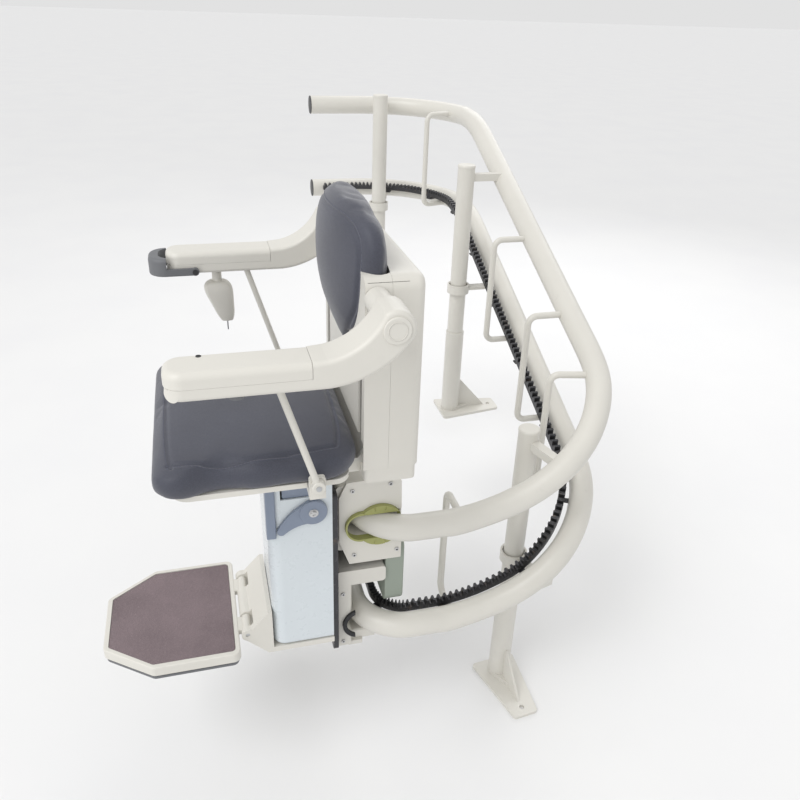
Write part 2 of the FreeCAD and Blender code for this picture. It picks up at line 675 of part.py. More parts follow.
def pinion():
    """Drive pinion with involute teeth and its shaft."""
    base_r = PINION_R * math.cos(PRESSURE_ANGLE)
    tip_r = PINION_R + MODULE * 0.95
    root_r = PINION_R - RACK_ADDENDUM - 0.9
    half_pitch = math.pi / (2 * PINION_TEETH) - BACKLASH / 2 / PINION_R
    involute_at_pitch = math.tan(PRESSURE_ANGLE) - PRESSURE_ANGLE

    def flank(radius, side):
        alpha = math.acos(min(1.0, base_r / radius))
        angle = half_pitch + involute_at_pitch - (math.tan(alpha) - alpha)
        return V(radius * math.cos(side * angle), radius * math.sin(side * angle), 0)

    radii = [base_r + (tip_r - base_r) * k / 4 for k in range(5)]
    points = []
    for tooth in range(PINION_TEETH):
        turn = 2 * math.pi * tooth / PINION_TEETH
        space = math.pi / PINION_TEETH
        loop = [V(root_r * math.cos(-space), root_r * math.sin(-space), 0)]
        loop.append(V(root_r * math.cos(half_pitch * 1.6), -root_r * math.sin(half_pitch * 1.6), 0))
        loop += [flank(r, -1) for r in radii]
        loop += [flank(r, 1) for r in radii[::-1]]
        loop.append(V(root_r * math.cos(half_pitch * 1.6), root_r * math.sin(half_pitch * 1.6), 0))
        for p in loop:
            points.append(V(p.x * math.cos(turn) - p.y * math.sin(turn), p.x * math.sin(turn) + p.y * math.cos(turn), 0))
    gear = prism(points, V(0, 0, PINION_WIDTH))
    gear = gear.fuse(Part.makeCylinder(10, 19, V(0, 0, PINION_WIDTH)))
    gear.rotate(V(0, 0, 0), V(0, 0, 1), 90 + 180 / PINION_TEETH)
    gear.rotate(V(0, 0, 0), V(1, 0, 0), -90)
    height = LOW_RUN_Z - TUBE_SPACING + RACK_PITCH_LINE + PINION_R
    gear.translate(V(PINION_X, RUN_Y + RACK_SIDE - PINION_WIDTH / 2, height))
    return gear


def gearbox_cover():
    """Grey cover behind the rail, over the reduction gears."""
    shell = rounded_box(-96, 54, 403, 446, 388, 556, 20, V(0, 1, 0))
    shell = soften(shell, 5, lambda e: e.CenterOfMass.y > 445)
    height = LOW_RUN_Z - TUBE_SPACING + RACK_PITCH_LINE + PINION_R
    return shell.cut(Part.makeCylinder(10 + RUNNING_GAP, 16, V(PINION_X, 402, height), V(0, 1, 0)))


def drive_motor():
    """Motor between the tubes, driving the gears behind the rail."""
    can = rod(V(-20, 292, 529.5), V(-20, 392, 529.5), 25)
    flange = rounded_box(-56, 16, 392, 402, 504, 555, 10, V(0, 1, 0))
    return can.fuse(flange)


def battery_pack():
    """Two sealed batteries at the foot of the housing."""
    cells = []
    for side in (-1, 1):
        x = side * 48
        cell = rounded_box(x - 32, x + 32, 170, 268, 362, 500, 3, V(0, 0, 1))
        posts = [Part.makeCylinder(4, 6, V(x + side * k, 186, 500)) for k in (-16, 16)]
        cells.append(cell.fuse(posts))
    return Part.makeCompound(cells)


def control_board():
    """Circuit board with its relays, upright inside the housing."""
    board = box(-70, 70, 262, 264, 520, 690)
    parts = [box(-60, -24, 240, 262, 540, 570), box(10, 50, 234, 262, 600, 650), box(-50, -30, 244, 262, 620, 660)]
    return board.fuse(parts)


# Footrest

def footrest_outline(inset, z):
    """Footplate outline with cut front corners, drawn in by inset."""
    front, corner, rear = -198 + inset, -98, 76
    wide = 149 - inset
    nose = 76 - inset * 0.4
    return [V(-nose, front, z), V(nose, front, z), V(wide, corner, z), V(wide, rear - inset, z),
            V(-wide, rear - inset, z), V(-wide, corner, z)]


def footrest_plate():
    """Moulded footplate with a raised rim, ribs below and two hinge knuckles."""
    top = FOOTREST_TOP_Z + 2
    plate = prism(footrest_outline(0, top - 22), V(0, 0, 22))
    plate = soften(plate, 16, lambda e: abs(e.Vertexes[0].Point.z - e.Vertexes[-1].Point.z) > 1)
    plate = soften(plate, 3, lambda e: e.CenterOfMass.z > top - 0.5)
    tray = prism(footrest_outline(10, top - 5), V(0, 0, 6))
    tray = soften(tray, 9, lambda e: abs(e.Vertexes[0].Point.z - e.Vertexes[-1].Point.z) > 1)
    hollow = prism(footrest_outline(14, top - 23), V(0, 0, 12))
    ribs = [box(-130, 130, y - 1.5, y + 1.5, top - 22, top - 10) for y in (-130, -60, 10)]
    ribs += [box(x - 1.5, x + 1.5, -150, 66, top - 22, top - 10) for x in (-60, 60)]
    inner = prism(footrest_outline(14, top - 22), V(0, 0, 12))
    web = ribs[0].fuse(ribs[1:]).common(inner)
    plate = plate.cut(tray).cut(hollow).fuse(web)
    knuckles = []
    for x in KNUCKLES:
        arm = box(x, x + 40, 66, FOOT_HINGE.y, FOOT_HINGE.z - 9, FOOT_HINGE.z + 3)
        knuckles.append(arm.fuse(rod(V(x, FOOT_HINGE.y, FOOT_HINGE.z), V(x + 40, FOOT_HINGE.y, FOOT_HINGE.z), 9)))
    plate = plate.fuse(knuckles)
    return plate.cut(rod(V(-160, FOOT_HINGE.y, FOOT_HINGE.z), V(160, FOOT_HINGE.y, FOOT_HINGE.z),
                         PIN_R + RUNNING_GAP)).removeSplitter()


def footrest_mat():
    """Speckled grip mat let into the footplate."""
    mat = prism(footrest_outline(11, FOOTREST_TOP_Z - 3), V(0, 0, 3.5))
    return soften(mat, 9, lambda e: abs(e.Vertexes[0].Point.z - e.Vertexes[-1].Point.z) > 1)


def footrest_bumper():
    """Safety pan that hangs under the footplate and lifts when it meets something."""
    z = FOOTREST_TOP_Z - 34
    pan = prism(footrest_outline(4, z), V(0, 0, 8))
    pan = soften(pan, 14, lambda e: abs(e.Vertexes[0].Point.z - e.Vertexes[-1].Point.z) > 1)
    return soften(pan, 3, lambda e: e.CenterOfMass.z < z + 0.5)


def footrest_bracket():
    """Carrier under the housing that holds the footrest's hinge pin."""
    y, z = FOOT_HINGE.y, FOOT_HINGE.z
    side = Part.Wire([line(V(0, y - 4, z - 14), V(0, 136, 340)), line(V(0, 136, 340), V(0, 279.5, 340)),
                      line(V(0, 279.5, 340), V(0, 279.5, 353)),
                      line(V(0, 279.5, 353), V(0, 147, 353)), line(V(0, 147, 353), V(0, 147, 452)),
                      line(V(0, 147, 452), V(0, 138, 452)), arc(V(0, 138, 452), V(0, 118, 431), V(0, y + 8, z + 13)),
                      line(V(0, y + 8, z + 13), V(0, y, z + 13)),
                      arc(V(0, y, z + 13), V(0, y - 13, z), V(0, y - 4, z - 14))])
    solid = Part.Face(side).extrude(V(196, 0, 0))
    solid.translate(V(-98, 0, 0))
    gaps = [box(x - 1, x + 41, 60, y + 13.5, z - 40, z + 60) for x in KNUCKLES]
    bore = rod(V(-160, y, z), V(160, y, z), PIN_R)
    return solid.cut(gaps).cut(bore).removeSplitter()


# Chair

def swivel_plate():
    """Upper swivel plate with its spigot."""
    plate = Part.makeCylinder(64, 12, V(0, SWIVEL_Y, 804))
    neck = Part.makeCylinder(34, 14 - 0.5, V(0, SWIVEL_Y, 790.5))
    spigot = Part.makeCylinder(22, 56, V(0, SWIVEL_Y, 735))
    return plate.fuse([neck, spigot]).removeSplitter()


def chair_base():
    """Base tray under the seat that ties the swivel to the backrest."""
    tray = rounded_box(-150, 150, 70, 340, 816, PAN_Z - 0.4, 24, V(0, 0, 1))
    tray = soften(tray, 8, lambda e: e.CenterOfMass.z < 816.5)
    rear = rounded_box(-BACK_HALF + 2, BACK_HALF - 2, BACK_FRONT_Y + 4, BACK_REAR_Y - 4, 816, PAN_Z - 0.4, 10,
                       V(0, 0, 1))
    return tray.fuse(rear).removeSplitter()


def backrest_shell():
    """Moulded housing behind the back pad, hollow and open in front for the seat hinge."""
    front, rear = BACK_FRONT_Y, BACK_REAR_Y
    low, high = PAN_Z, 1210
    half = BACK_HALF
    outline = Part.Wire([
        line(V(-half, front, low), V(half, front, low)),
        line(V(half, front, low), V(half, front, high - 24)),
        arc(V(half, front, high - 24), V(half - 7, front, high - 7), V(half - 24, front, high)),
        line(V(half - 24, front, high), V(-half + 24, front, high)),
        arc(V(-half + 24, front, high), V(-half + 7, front, high - 7), V(-half, front, high - 24)),
        line(V(-half, front, high - 24), V(-half, front, low)),
    ])
    solid = Part.Face(outline).extrude(V(0, rear - front, 0))
    solid = soften(solid, 14, lambda e: e.CenterOfMass.y > rear - 1 and e.CenterOfMass.z > low + 1)
    hollow = box(-half + 5, half - 5, front + 4, rear - 4, low - 1, 1120)
    mouth = box(-half + 5, half - 5, front - 1, front + 5, low - 1, SEAT_MOUTH_TOP)
    slots = [box(x, x + 26, front - 1, front + 5, low - 1, 1110) for x in (-169, 143)]
    bore = rod(V(-200, ARM_PIVOT.y, ARM_PIVOT.z), V(200, ARM_PIVOT.y, ARM_PIVOT.z), 13)
    ears = [box(x, x + 14, front + 5, 395, 1110, 1200) for x in (-half + 4, half - 18)]
    solid = solid.cut([hollow, mouth, bore] + ears + slots)
    return solid.cut(backrest_pad(1.5))


def backrest_front():
    """Front moulding of the backrest housing, up to the seam."""
    return backrest_shell().common(box(-300, 300, 0, BACK_SEAM_Y - 0.3, 0, 2000))


def backrest_rear():
    """Rear moulding of the backrest housing, behind the seam."""
    return backrest_shell().common(box(-300, 300, BACK_SEAM_Y, 600, 0, 2000))


def backrest_frame():
    """Steel frame inside the backrest: two uprights and a cross bar, bored for the seat hinge and the arms."""
    parts = []
    for side in (-1, 1):
        x = side * 179
        parts.append(box(x - 5, x + 5, 326, 410, PAN_Z + 0.3, 1112))
        parts.append(box(x - 5, x + 5, 326, 392, 1112, 1195))
    parts.append(box(-178, 178, 388, 394, 1040, 1100))
    solid = parts[0].fuse(parts[1:])
    hinge = rod(V(-200, SEAT_HINGE.y, SEAT_HINGE.z), V(200, SEAT_HINGE.y, SEAT_HINGE.z), PIN_R)
    arms = rod(V(-200, ARM_PIVOT.y, ARM_PIVOT.z), V(200, ARM_PIVOT.y, ARM_PIVOT.z), 9 + RUNNING_GAP)
    return solid.cut([hinge, arms]).cut(backrest_pad(1.5)).removeSplitter()


def back_section(z, half, front, crown, rear):
    """Level section through the back pad: a crowned front, round edges and a nearly flat rear."""
    edge_front = front + crown
    edge_rear = rear - min(BACK_PAD_DISH, half * 0.1)
    middle = (edge_front + edge_rear) / 2
    bulge = min(6.0, half * 0.3)
    return Part.Wire([
        arc(V(-half, edge_front, z), V(0, front, z), V(half, edge_front, z)),
        arc(V(half, edge_front, z), V(half + bulge, middle, z), V(half, edge_rear, z)),
        arc(V(half, edge_rear, z), V(0, rear, z), V(-half, edge_rear, z)),
        arc(V(-half, edge_rear, z), V(-half - bulge, middle, z), V(-half, edge_front, z)),
    ])


def backrest_pad(grow=0.0):
    """Spoon-shaped back cushion: a wide crowned head that narrows to a round tip. grow makes it larger."""
    rows = (
        (1010, 10, 340, 2, 354),
        (1022, 34, 331, 8, 360),
        (1052, 68, 319, 19, 368),
        (1090, 114, 302, 35, 374),
        (1130, 147, 287, 48, 376),
        (1185, 163, 276, 57, 377),
        (1230, 168, 275, 57, 376),
        (1262, 162, 279, 51, 375),
        (1286, 136, 289, 40, 372),
        (1300, 96, 304, 26, 368),
        (1306, 46, 322, 10, 362),
    )
    sections = []
    for z, half, front, crown, rear in rows:
        sections.append(back_section(z, half + grow, front - grow, crown, rear + grow))
    return Part.makeLoft(sections, True, False)


def seat_section(y, half, low, side_high, crown):
    """Upright section across the seat cushion: flat below, round sides and a crowned top."""
    bulge = 7.0
    middle = (low + side_high) / 2
    return Part.Wire([
        line(V(-half, y, low), V(half, y, low)),
        arc(V(half, y, low), V(half + bulge, y, middle), V(half, y, side_high)),
        arc(V(half, y, side_high), V(0, y, crown), V(-half, y, side_high)),
        arc(V(-half, y, side_high), V(-half - bulge, y, middle), V(-half, y, low)),
    ])


def seat_pad():
    """Seat cushion with a crowned top, drawn-in sides and a rounded front."""
    top = SEAT_TOP_Z
    rows = (
        (-43, 190, 869, 888, 894),
        (-38, 208, 863, 898, 905),
        (-20, 224, 859, 906, 915),
        (20, 229, 858, 909, top - 6),
        (130, 229, 858, 909, top - 4),
        (240, 227, 858, 908, top - 6),
        (278, 214, 859, 905, top - 9),
        (302, 186, 863, 899, top - 15),
        (311, 160, 869, 893, top - 23),
    )
    sections = [seat_section(*row) for row in rows]
    return Part.makeLoft(sections, True, False)


def seat_pan():
    """Pressed pan under the cushion with two rear arms up to the hinge and side bosses for the struts."""
    pan = rounded_box(-222, 222, -14, 292, PAN_Z, PAN_Z + 10.5, 30, V(0, 0, 1))
    parts = []
    for side in (-1, 1):
        x = side * 156
        y, z = SEAT_HINGE.y, SEAT_HINGE.z
        low = PAN_Z
        lug = Part.Wire([line(V(x - 5, 240, low), V(x - 5, 330, low)), line(V(x - 5, 330, low), V(x - 5, y + 12, z)),
                         arc(V(x - 5, y + 12, z), V(x - 5, y, z + 12), V(x - 5, y - 12, z)),
                         line(V(x - 5, y - 12, z), V(x - 5, 316, low + 10.5)),
                         line(V(x - 5, 316, low + 10.5), V(x - 5, 240, low + 10.5)),
                         line(V(x - 5, 240, low + 10.5), V(x - 5, 240, low))])
        parts.append(Part.Face(lug).extrude(V(10, 0, 0)))
        near, far = sorted((side * 200, side * (STRUT_X - 8)))
        parts.append(box(near, far, STRUT_FOOT.y - 14, STRUT_FOOT.y + 14, PAN_Z, PAN_Z + 10.5))
        near, far = sorted((side * (STRUT_X - 18), side * (STRUT_X - 8)))
        parts.append(rounded_box(near, far, STRUT_FOOT.y - 14, STRUT_FOOT.y + 14, PAN_Z, STRUT_FOOT.z + 12, 5,
                                 V(1, 0, 0)))
    pan = pan.fuse(parts)
    hinge = rod(V(-200, SEAT_HINGE.y, SEAT_HINGE.z), V(200, SEAT_HINGE.y, SEAT_HINGE.z), PIN_R + RUNNING_GAP)
    foot = rod(V(-300, STRUT_FOOT.y, STRUT_FOOT.z), V(300, STRUT_FOOT.y, STRUT_FOOT.z), PIN_R)
    return pan.cut(hinge).cut(foot).removeSplitter()


def seat_hinge_pins():
    """Hinge pins of the seat, one each side."""
    y, z = SEAT_HINGE.y, SEAT_HINGE.z
    pins = [rod(V(side * 140, y, z), V(side * 184, y, z), PIN_R) for side in (-1, 1)]
    return Part.makeCompound(pins)


def strut_foot_pins():
    """Pins at the struts' lower ends."""
    y, z = STRUT_FOOT.y, STRUT_FOOT.z
    pins = [rod(V(side * (STRUT_X - 18), y, z), V(side * (STRUT_X + 8.5), y, z), PIN_R) for side in (-1, 1)]
    return Part.makeCompound(pins)


def strut(side):
    """Round strut between arm and seat, with a cross pin at the top and a bored boss at the foot."""
    x = side * STRUT_X
    top = V(x, STRUT_TOP.y, STRUT_TOP.z)
    foot = V(x, STRUT_FOOT.y, STRUT_FOOT.z)
    bar = rod(top, foot, STRUT_R)
    eye = Part.makeCylinder(8, 13, top - V(6.5, 0, 0), V(1, 0, 0))
    boss = Part.makeCylinder(12, 15, foot - V(7.5, 0, 0), V(1, 0, 0))
    boss = soften(boss, 2.5, lambda e: e.Length > 60)
    solid = bar.fuse([eye, boss])
    solid = solid.cut(Part.makeCylinder(PIN_R + RUNNING_GAP, 40, foot - V(20, 0, 0), V(1, 0, 0)))
    return solid.fuse(rod(top - V(14, 0, 0), top + V(14, 0, 0), PIN_R)).removeSplitter()


def arm_side(x):
    """Side outline of the arm's frame: straight under the pad, then an elbow up to the round pivot end."""
    z = ARM_Z
    pivot = V(x, ARM_PIVOT.y, ARM_PIVOT.z)
    end_r = 31.0

    def at_pivot(degrees):
        angle = math.radians(degrees)
        return pivot + end_r * V(0, math.cos(angle), math.sin(angle))

    return Part.Wire([
        line(V(x, 14, z), V(x, 238, z)),
        arc(V(x, 238, z), V(x, 304, z + 18), at_pivot(-42)),
        arc(at_pivot(-42), at_pivot(35), at_pivot(125)),
        arc(at_pivot(125), V(x, 283, z + 66), V(x, 236, z + 47)),
        line(V(x, 236, z + 47), V(x, 214, z + 45)),
        line(V(x, 214, z + 45), V(x, 214, z + 20)),
        line(V(x, 214, z + 20), V(x, 10, z + 20)),
        arc(V(x, 10, z + 20), V(x, 2, z + 9), V(x, 14, z)),
    ])


def arm_shell(side):
    """Moulded arm with its elbow, its round pivot end and the hub that turns in the backrest."""
    x0 = ARM_X - ARM_W / 2
    solid = Part.Face(arm_side(x0)).extrude(V(ARM_W, 0, 0))
    nose = rounded_box(x0, x0 + ARM_W, 0, 600, ARM_Z - 10, ARM_Z + 300, 28, V(0, 0, 1))
    solid = solid.common(nose)
    solid = soften(solid, 7, lambda e: e.CenterOfMass.y > 222 and abs(e.Vertexes[0].Point.x - e.Vertexes[-1].Point.x) < 1
                   and e.Length > 30)
    hub = Part.makeCylinder(22, x0 - BACK_HALF - 1 + 4, V(BACK_HALF + 1, ARM_PIVOT.y, ARM_PIVOT.z), V(1, 0, 0))
    spindle = Part.makeCylinder(9, 22, V(BACK_HALF - 16, ARM_PIVOT.y, ARM_PIVOT.z), V(1, 0, 0))
    slot = box(STRUT_X - 7.5, STRUT_X + 7.5, STRUT_TOP.y - 14, STRUT_TOP.y + 106, ARM_Z - 1, ARM_Z + 19)
    solid = solid.fuse([hub, spindle]).cut(slot)
    pin = rod(V(STRUT_X - 14.2, STRUT_TOP.y, STRUT_TOP.z), V(STRUT_X + 14.2, STRUT_TOP.y, STRUT_TOP.z),
              PIN_R + RUNNING_GAP)
    solid = solid.cut(pin).removeSplitter()
    return solid if side > 0 else mirrored(solid)


def arm_pad(side):
    """Moulded armrest top with a rounded tip and crowned edges."""
    x0 = ARM_X - ARM_W / 2
    pad = box(x0, x0 + ARM_W, 1, 213.4, ARM_Z + 20.3, ARM_Z + 45)
    pad = soften(pad, 28, lambda e: e.CenterOfMass.y < 2 and abs(e.Vertexes[0].Point.z - e.Vertexes[-1].Point.z) > 1)
    pad = soften(pad, 11, lambda e: e.CenterOfMass.z > ARM_Z + 44.5 and e.CenterOfMass.y < 213)
    return pad if side > 0 else mirrored(pad)


def pivot_cap(side):
    """Round cap over the arm's pivot."""
    x = ARM_X + ARM_W / 2
    cap = Part.makeCylinder(22, 3, V(x, ARM_PIVOT.y, ARM_PIVOT.z), V(1, 0, 0))
    cap = soften(cap, 2, lambda e: e.CenterOfMass.x > x + 2.9)
    return cap if side > 0 else mirrored(cap)


def arm_stub():
    """Socket under the left arm for a second control."""
    stub = Part.makeCylinder(13, 12, V(ARM_X + 8, 103, ARM_Z - 12))
    return soften(stub, 3, lambda e: e.CenterOfMass.z < ARM_Z - 11)


def control_pod():
    """Handset-shaped pod under the right arm, with a stem and a recess for the key switch."""
    x, y = -ARM_X, 101.0
    stem = Part.makeCylinder(10, 30, V(x, y, ARM_Z - 30))
    rows = ((28, 12, 17, 0), (36, 18, 27, 0), (56, 20, 29, 3), (90, 17, 22, 10), (118, 12, 13, 15))
    sections = []
    for drop, half_x, half_y, lean in rows:
        sections.append(pod_section(x, y + lean, ARM_Z - drop, half_x, half_y))
    body = Part.makeLoft(sections, True, False)
    socket = Part.makeCylinder(9, 10, V(x, y + 15, ARM_Z - 118.5))
    return stem.fuse(body).cut(socket)


def pod_section(x, y, z, half_x, half_y):
    """Level section of the pod: four shallow arcs."""
    k = 0.8
    return Part.Wire([
        arc(V(x - half_x * k, y - half_y * k, z), V(x, y - half_y, z), V(x + half_x * k, y - half_y * k, z)),
        arc(V(x + half_x * k, y - half_y * k, z), V(x + half_x, y, z), V(x + half_x * k, y + half_y * k, z)),
        arc(V(x + half_x * k, y + half_y * k, z), V(x, y + half_y, z), V(x - half_x * k, y + half_y * k, z)),
        arc(V(x - half_x * k, y + half_y * k, z), V(x - half_x, y, z), V(x - half_x * k, y - half_y * k, z)),
    ])


def key_switch():
    """Key barrel with a removable key, in the pod's foot."""
    x, y = -ARM_X, 116.0
    top = ARM_Z - 109
    barrel = Part.makeCylinder(8.9, 6, V(x, y, top - 6.5))
    key = rounded_box(x - 8, x + 8, y - 1.2, y + 1.2, top - 32, top - 6.5, 3, V(0, 1, 0))
    return barrel.fuse(key)


def drive_paddle():
    """U-shaped hand control round the tip of the right arm: a tall bow in front on two low legs."""
    x, half = -ARM_X, ARM_W / 2
    z = PADDLE_PIN.z
    outer = rounded_box(x - half - 10, x + half + 10, -34, 120, z - 8, ARM_Z + 36, 34, V(0, 0, 1))
    outer = soften(outer, 8, lambda e: e.CenterOfMass.z > ARM_Z + 35)
    outer = soften(outer, 3, lambda e: e.CenterOfMass.z < z - 7)
    rear = box(x - half - 20, x + half + 20, PADDLE_PIN.y, 130, z - 10, ARM_Z + 60)
    inner = rounded_box(x - half - 2.5, x + half + 2.5, -14, 140, z - 10, ARM_Z + 60, 31, V(0, 0, 1))
    over = box(x - half - 20, x + half + 20, 2, 130, z + 7, ARM_Z + 60)
    paddle = outer.cut([inner, rear, over])
    ears = []
    for side in (-1, 1):
        start = V(x + side * (half + 2.5), PADDLE_PIN.y, z)
        ears.append(Part.makeCylinder(8, 7.5, start, V(side, 0, 0)))
    paddle = paddle.fuse(ears)
    pin = rod(V(x - 80, PADDLE_PIN.y, z), V(x + 80, PADDLE_PIN.y, z), 3 + RUNNING_GAP)
    return paddle.cut(pin).removeSplitter()


def paddle_pins():
    """Two pivot pins of the paddle with round heads."""
    x, half = -ARM_X, ARM_W / 2
    pins = []
    for side in (-1, 1):
        start = V(x + side * (half + 0.05), PADDLE_PIN.y, PADDLE_PIN.z)
        pin = Part.makeCylinder(3, 10.3, start, V(side, 0, 0))
        head = Part.makeCylinder(5.5, 2, start + V(side * 10.3, 0, 0), V(side, 0, 0))
        pins.append(pin.fuse(head))
    return Part.makeCompound(pins)


def block_screws():
    """Cap screws of the block plate and the lower bracket."""
    places = ((64, 330, 548), (64, 424, 548), (64, 326, 714), (64, 406, 722), (62, 306, 440), (62, 306, 299))
    heads = []
    for x, y, z in places:
        head = Part.makeCylinder(4.5, 3, V(x, y, z), V(1, 0, 0))
        heads.append(soften(head, 1, lambda e: e.CenterOfMass.x > x + 2.9))
    return Part.makeCompound(heads)


def footrest_pin():
    """Hinge pin of the footrest."""
    return rod(V(-96, FOOT_HINGE.y, FOOT_HINGE.z), V(96, FOOT_HINGE.y, FOOT_HINGE.z), PIN_R)


def build():
    """All nodes by name."""
    space = travel_clearance()
    tubes = [swept(TUBE_R, 0), swept(TUBE_R, -TUBE_SPACING)]
    nodes = {
        "upper_tube": tubes[0].cut(swept(TUBE_BORE_R, 0)),
        "lower_tube": tubes[1].cut(swept(TUBE_BORE_R, -TUBE_SPACING)),
        "gear_rack": gear_rack(),
        "rack_standoffs": rack_standoffs(tubes[1]),
        "tie_rods": tie_rods(tubes),
        "tube_end_plugs": end_plugs(),
    }
    posts = [post_set(foot, nearest_station(foot), turn, tubes) for foot, turn in POSTS]
    for name in posts[0]:
        nodes[name] = Part.makeCompound([post[name] for post in posts])

    top, under, low = roller_heights()
    nodes.update({
        "carriage_frame": carriage_frame(),
        "carriage_housing": carriage_housing(),
        "lever_bracket": lever_bracket(),
        "upper_roller_block": upper_block(space),
        "upper_block_plate": upper_block_plate(space),
        "tube_guide_ring": guide_ring(space),
        "lower_bracket": lower_bracket(),
        "lower_tube_seal": lower_seal(),
        "block_screws": block_screws(),
        "roller_axles": roller_axles(),
        "gearbox_cover": gearbox_cover(),
        "drive_motor": drive_motor(),
        "battery_pack": battery_pack(),
        "control_board": control_board(),
        "footrest_bracket": footrest_bracket(),
        "footrest_pin": footrest_pin(),
        "drive_pinion": pinion(),
        "top_roller": guide_roller(top),
        "under_roller": guide_roller(under),
        "lower_roller": guide_roller(low),
        "swivel_lever": swivel_lever(),
        "footrest_plate": footrest_plate(),
        "footrest_mat": footrest_mat(),
        "footrest_bumper": footrest_bumper(),
        "swivel_plate": swivel_plate(),
        "chair_base": chair_base(),
        "backrest_front": backrest_front(),
        "backrest_rear": backrest_rear(),
        "backrest_frame": backrest_frame(),
        "backrest_pad": backrest_pad(),
        "seat_hinge_pins": seat_hinge_pins(),
        "seat_pan": seat_pan(),
        "seat_pad": seat_pad(),
        "strut_foot_pins": strut_foot_pins(),
        "arm_stub": arm_stub(),
        "control_pod": control_pod(),
        "key_switch": key_switch(),
        "drive_paddle": drive_paddle(),
        "paddle_pins": paddle_pins(),
    })
    for name, side in (("left", 1), ("right", -1)):
        nodes[name + "_arm_shell"] = arm_shell(side)
        nodes[name + "_arm_pad"] = arm_pad(side)
        nodes[name + "_pivot_cap"] = pivot_cap(side)
        nodes[name + "_strut"] = strut(side)
    return nodes


def main():
    """Writes one STEP file for each node, with the low post's foot at the origin."""
    os.makedirs("parts", exist_ok=True)
    for name, shape in build().items():
        shape.translate(V(-LOW_POST.x, -LOW_POST.y, 0))
        shape.exportStep("parts/" + name + ".step")


main()
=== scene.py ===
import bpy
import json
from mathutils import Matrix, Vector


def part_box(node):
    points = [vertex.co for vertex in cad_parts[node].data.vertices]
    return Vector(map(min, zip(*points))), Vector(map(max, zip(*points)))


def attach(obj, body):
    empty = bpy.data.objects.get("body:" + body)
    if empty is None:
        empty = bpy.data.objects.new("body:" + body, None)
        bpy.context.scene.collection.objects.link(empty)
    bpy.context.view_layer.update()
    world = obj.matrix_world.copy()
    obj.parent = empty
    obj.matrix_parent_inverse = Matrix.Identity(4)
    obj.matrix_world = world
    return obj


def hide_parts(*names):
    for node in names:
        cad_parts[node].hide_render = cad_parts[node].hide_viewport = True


bl_info = {
    "name": "Curved-rail stairlift chair",
    "version": (1, 0, 0),
    "blender": (4, 5, 0),
    "location": "View3D > Sidebar > Stairlift",
    "description": "Cushions, stitching, screws and finishes for a folding stairlift chair "
                   "on a twin-tube rail",
    "category": "Object",
}

import json
import math

import bmesh
import bpy
import numpy as np
from bpy.props import FloatProperty, FloatVectorProperty, PointerProperty
from mathutils import Matrix, Vector
from mathutils.bvhtree import BVHTree

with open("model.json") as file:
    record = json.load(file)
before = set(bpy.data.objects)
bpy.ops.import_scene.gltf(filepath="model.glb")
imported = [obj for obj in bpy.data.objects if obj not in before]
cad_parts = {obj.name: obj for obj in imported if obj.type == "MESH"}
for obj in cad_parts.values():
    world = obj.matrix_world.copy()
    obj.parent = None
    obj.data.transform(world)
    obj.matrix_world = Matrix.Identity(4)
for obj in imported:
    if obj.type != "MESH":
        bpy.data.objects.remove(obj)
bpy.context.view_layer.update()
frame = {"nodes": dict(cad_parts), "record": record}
NODES = frame["nodes"]
MM = 0.001
UPWARD = (0, 0, 1)
FORWARD = (0, -1, 0)
LEFTWARD = (1, 0, 0)

# Cushions and thread, in metres
VOXEL = 0.005
SEAT_SWELL = 0.010
BACK_SWELL = 0.008
STUFFING_PRESSURE = 4.0
SHRINK_BEFORE_SWELL = 0.985
CLOTH_STEPS = 20
SEAM_WIDTH = 0.0035
SEAM_TO_STITCHES = 0.005
BACK_INSET_SHARE = 0.8
STITCH_PITCH = 0.0052
STITCH_HALF_LENGTH = 0.0021
THREAD_RADIUS = 0.00055


def at(x, y, z):
    """Point in metres from millimetres in the chair's frame: armrest tips at Y = 0, centre plane at X = 0."""
    return Vector(((x + 22) * MM, (y - 748) * MM, z * MM))


# Finishes

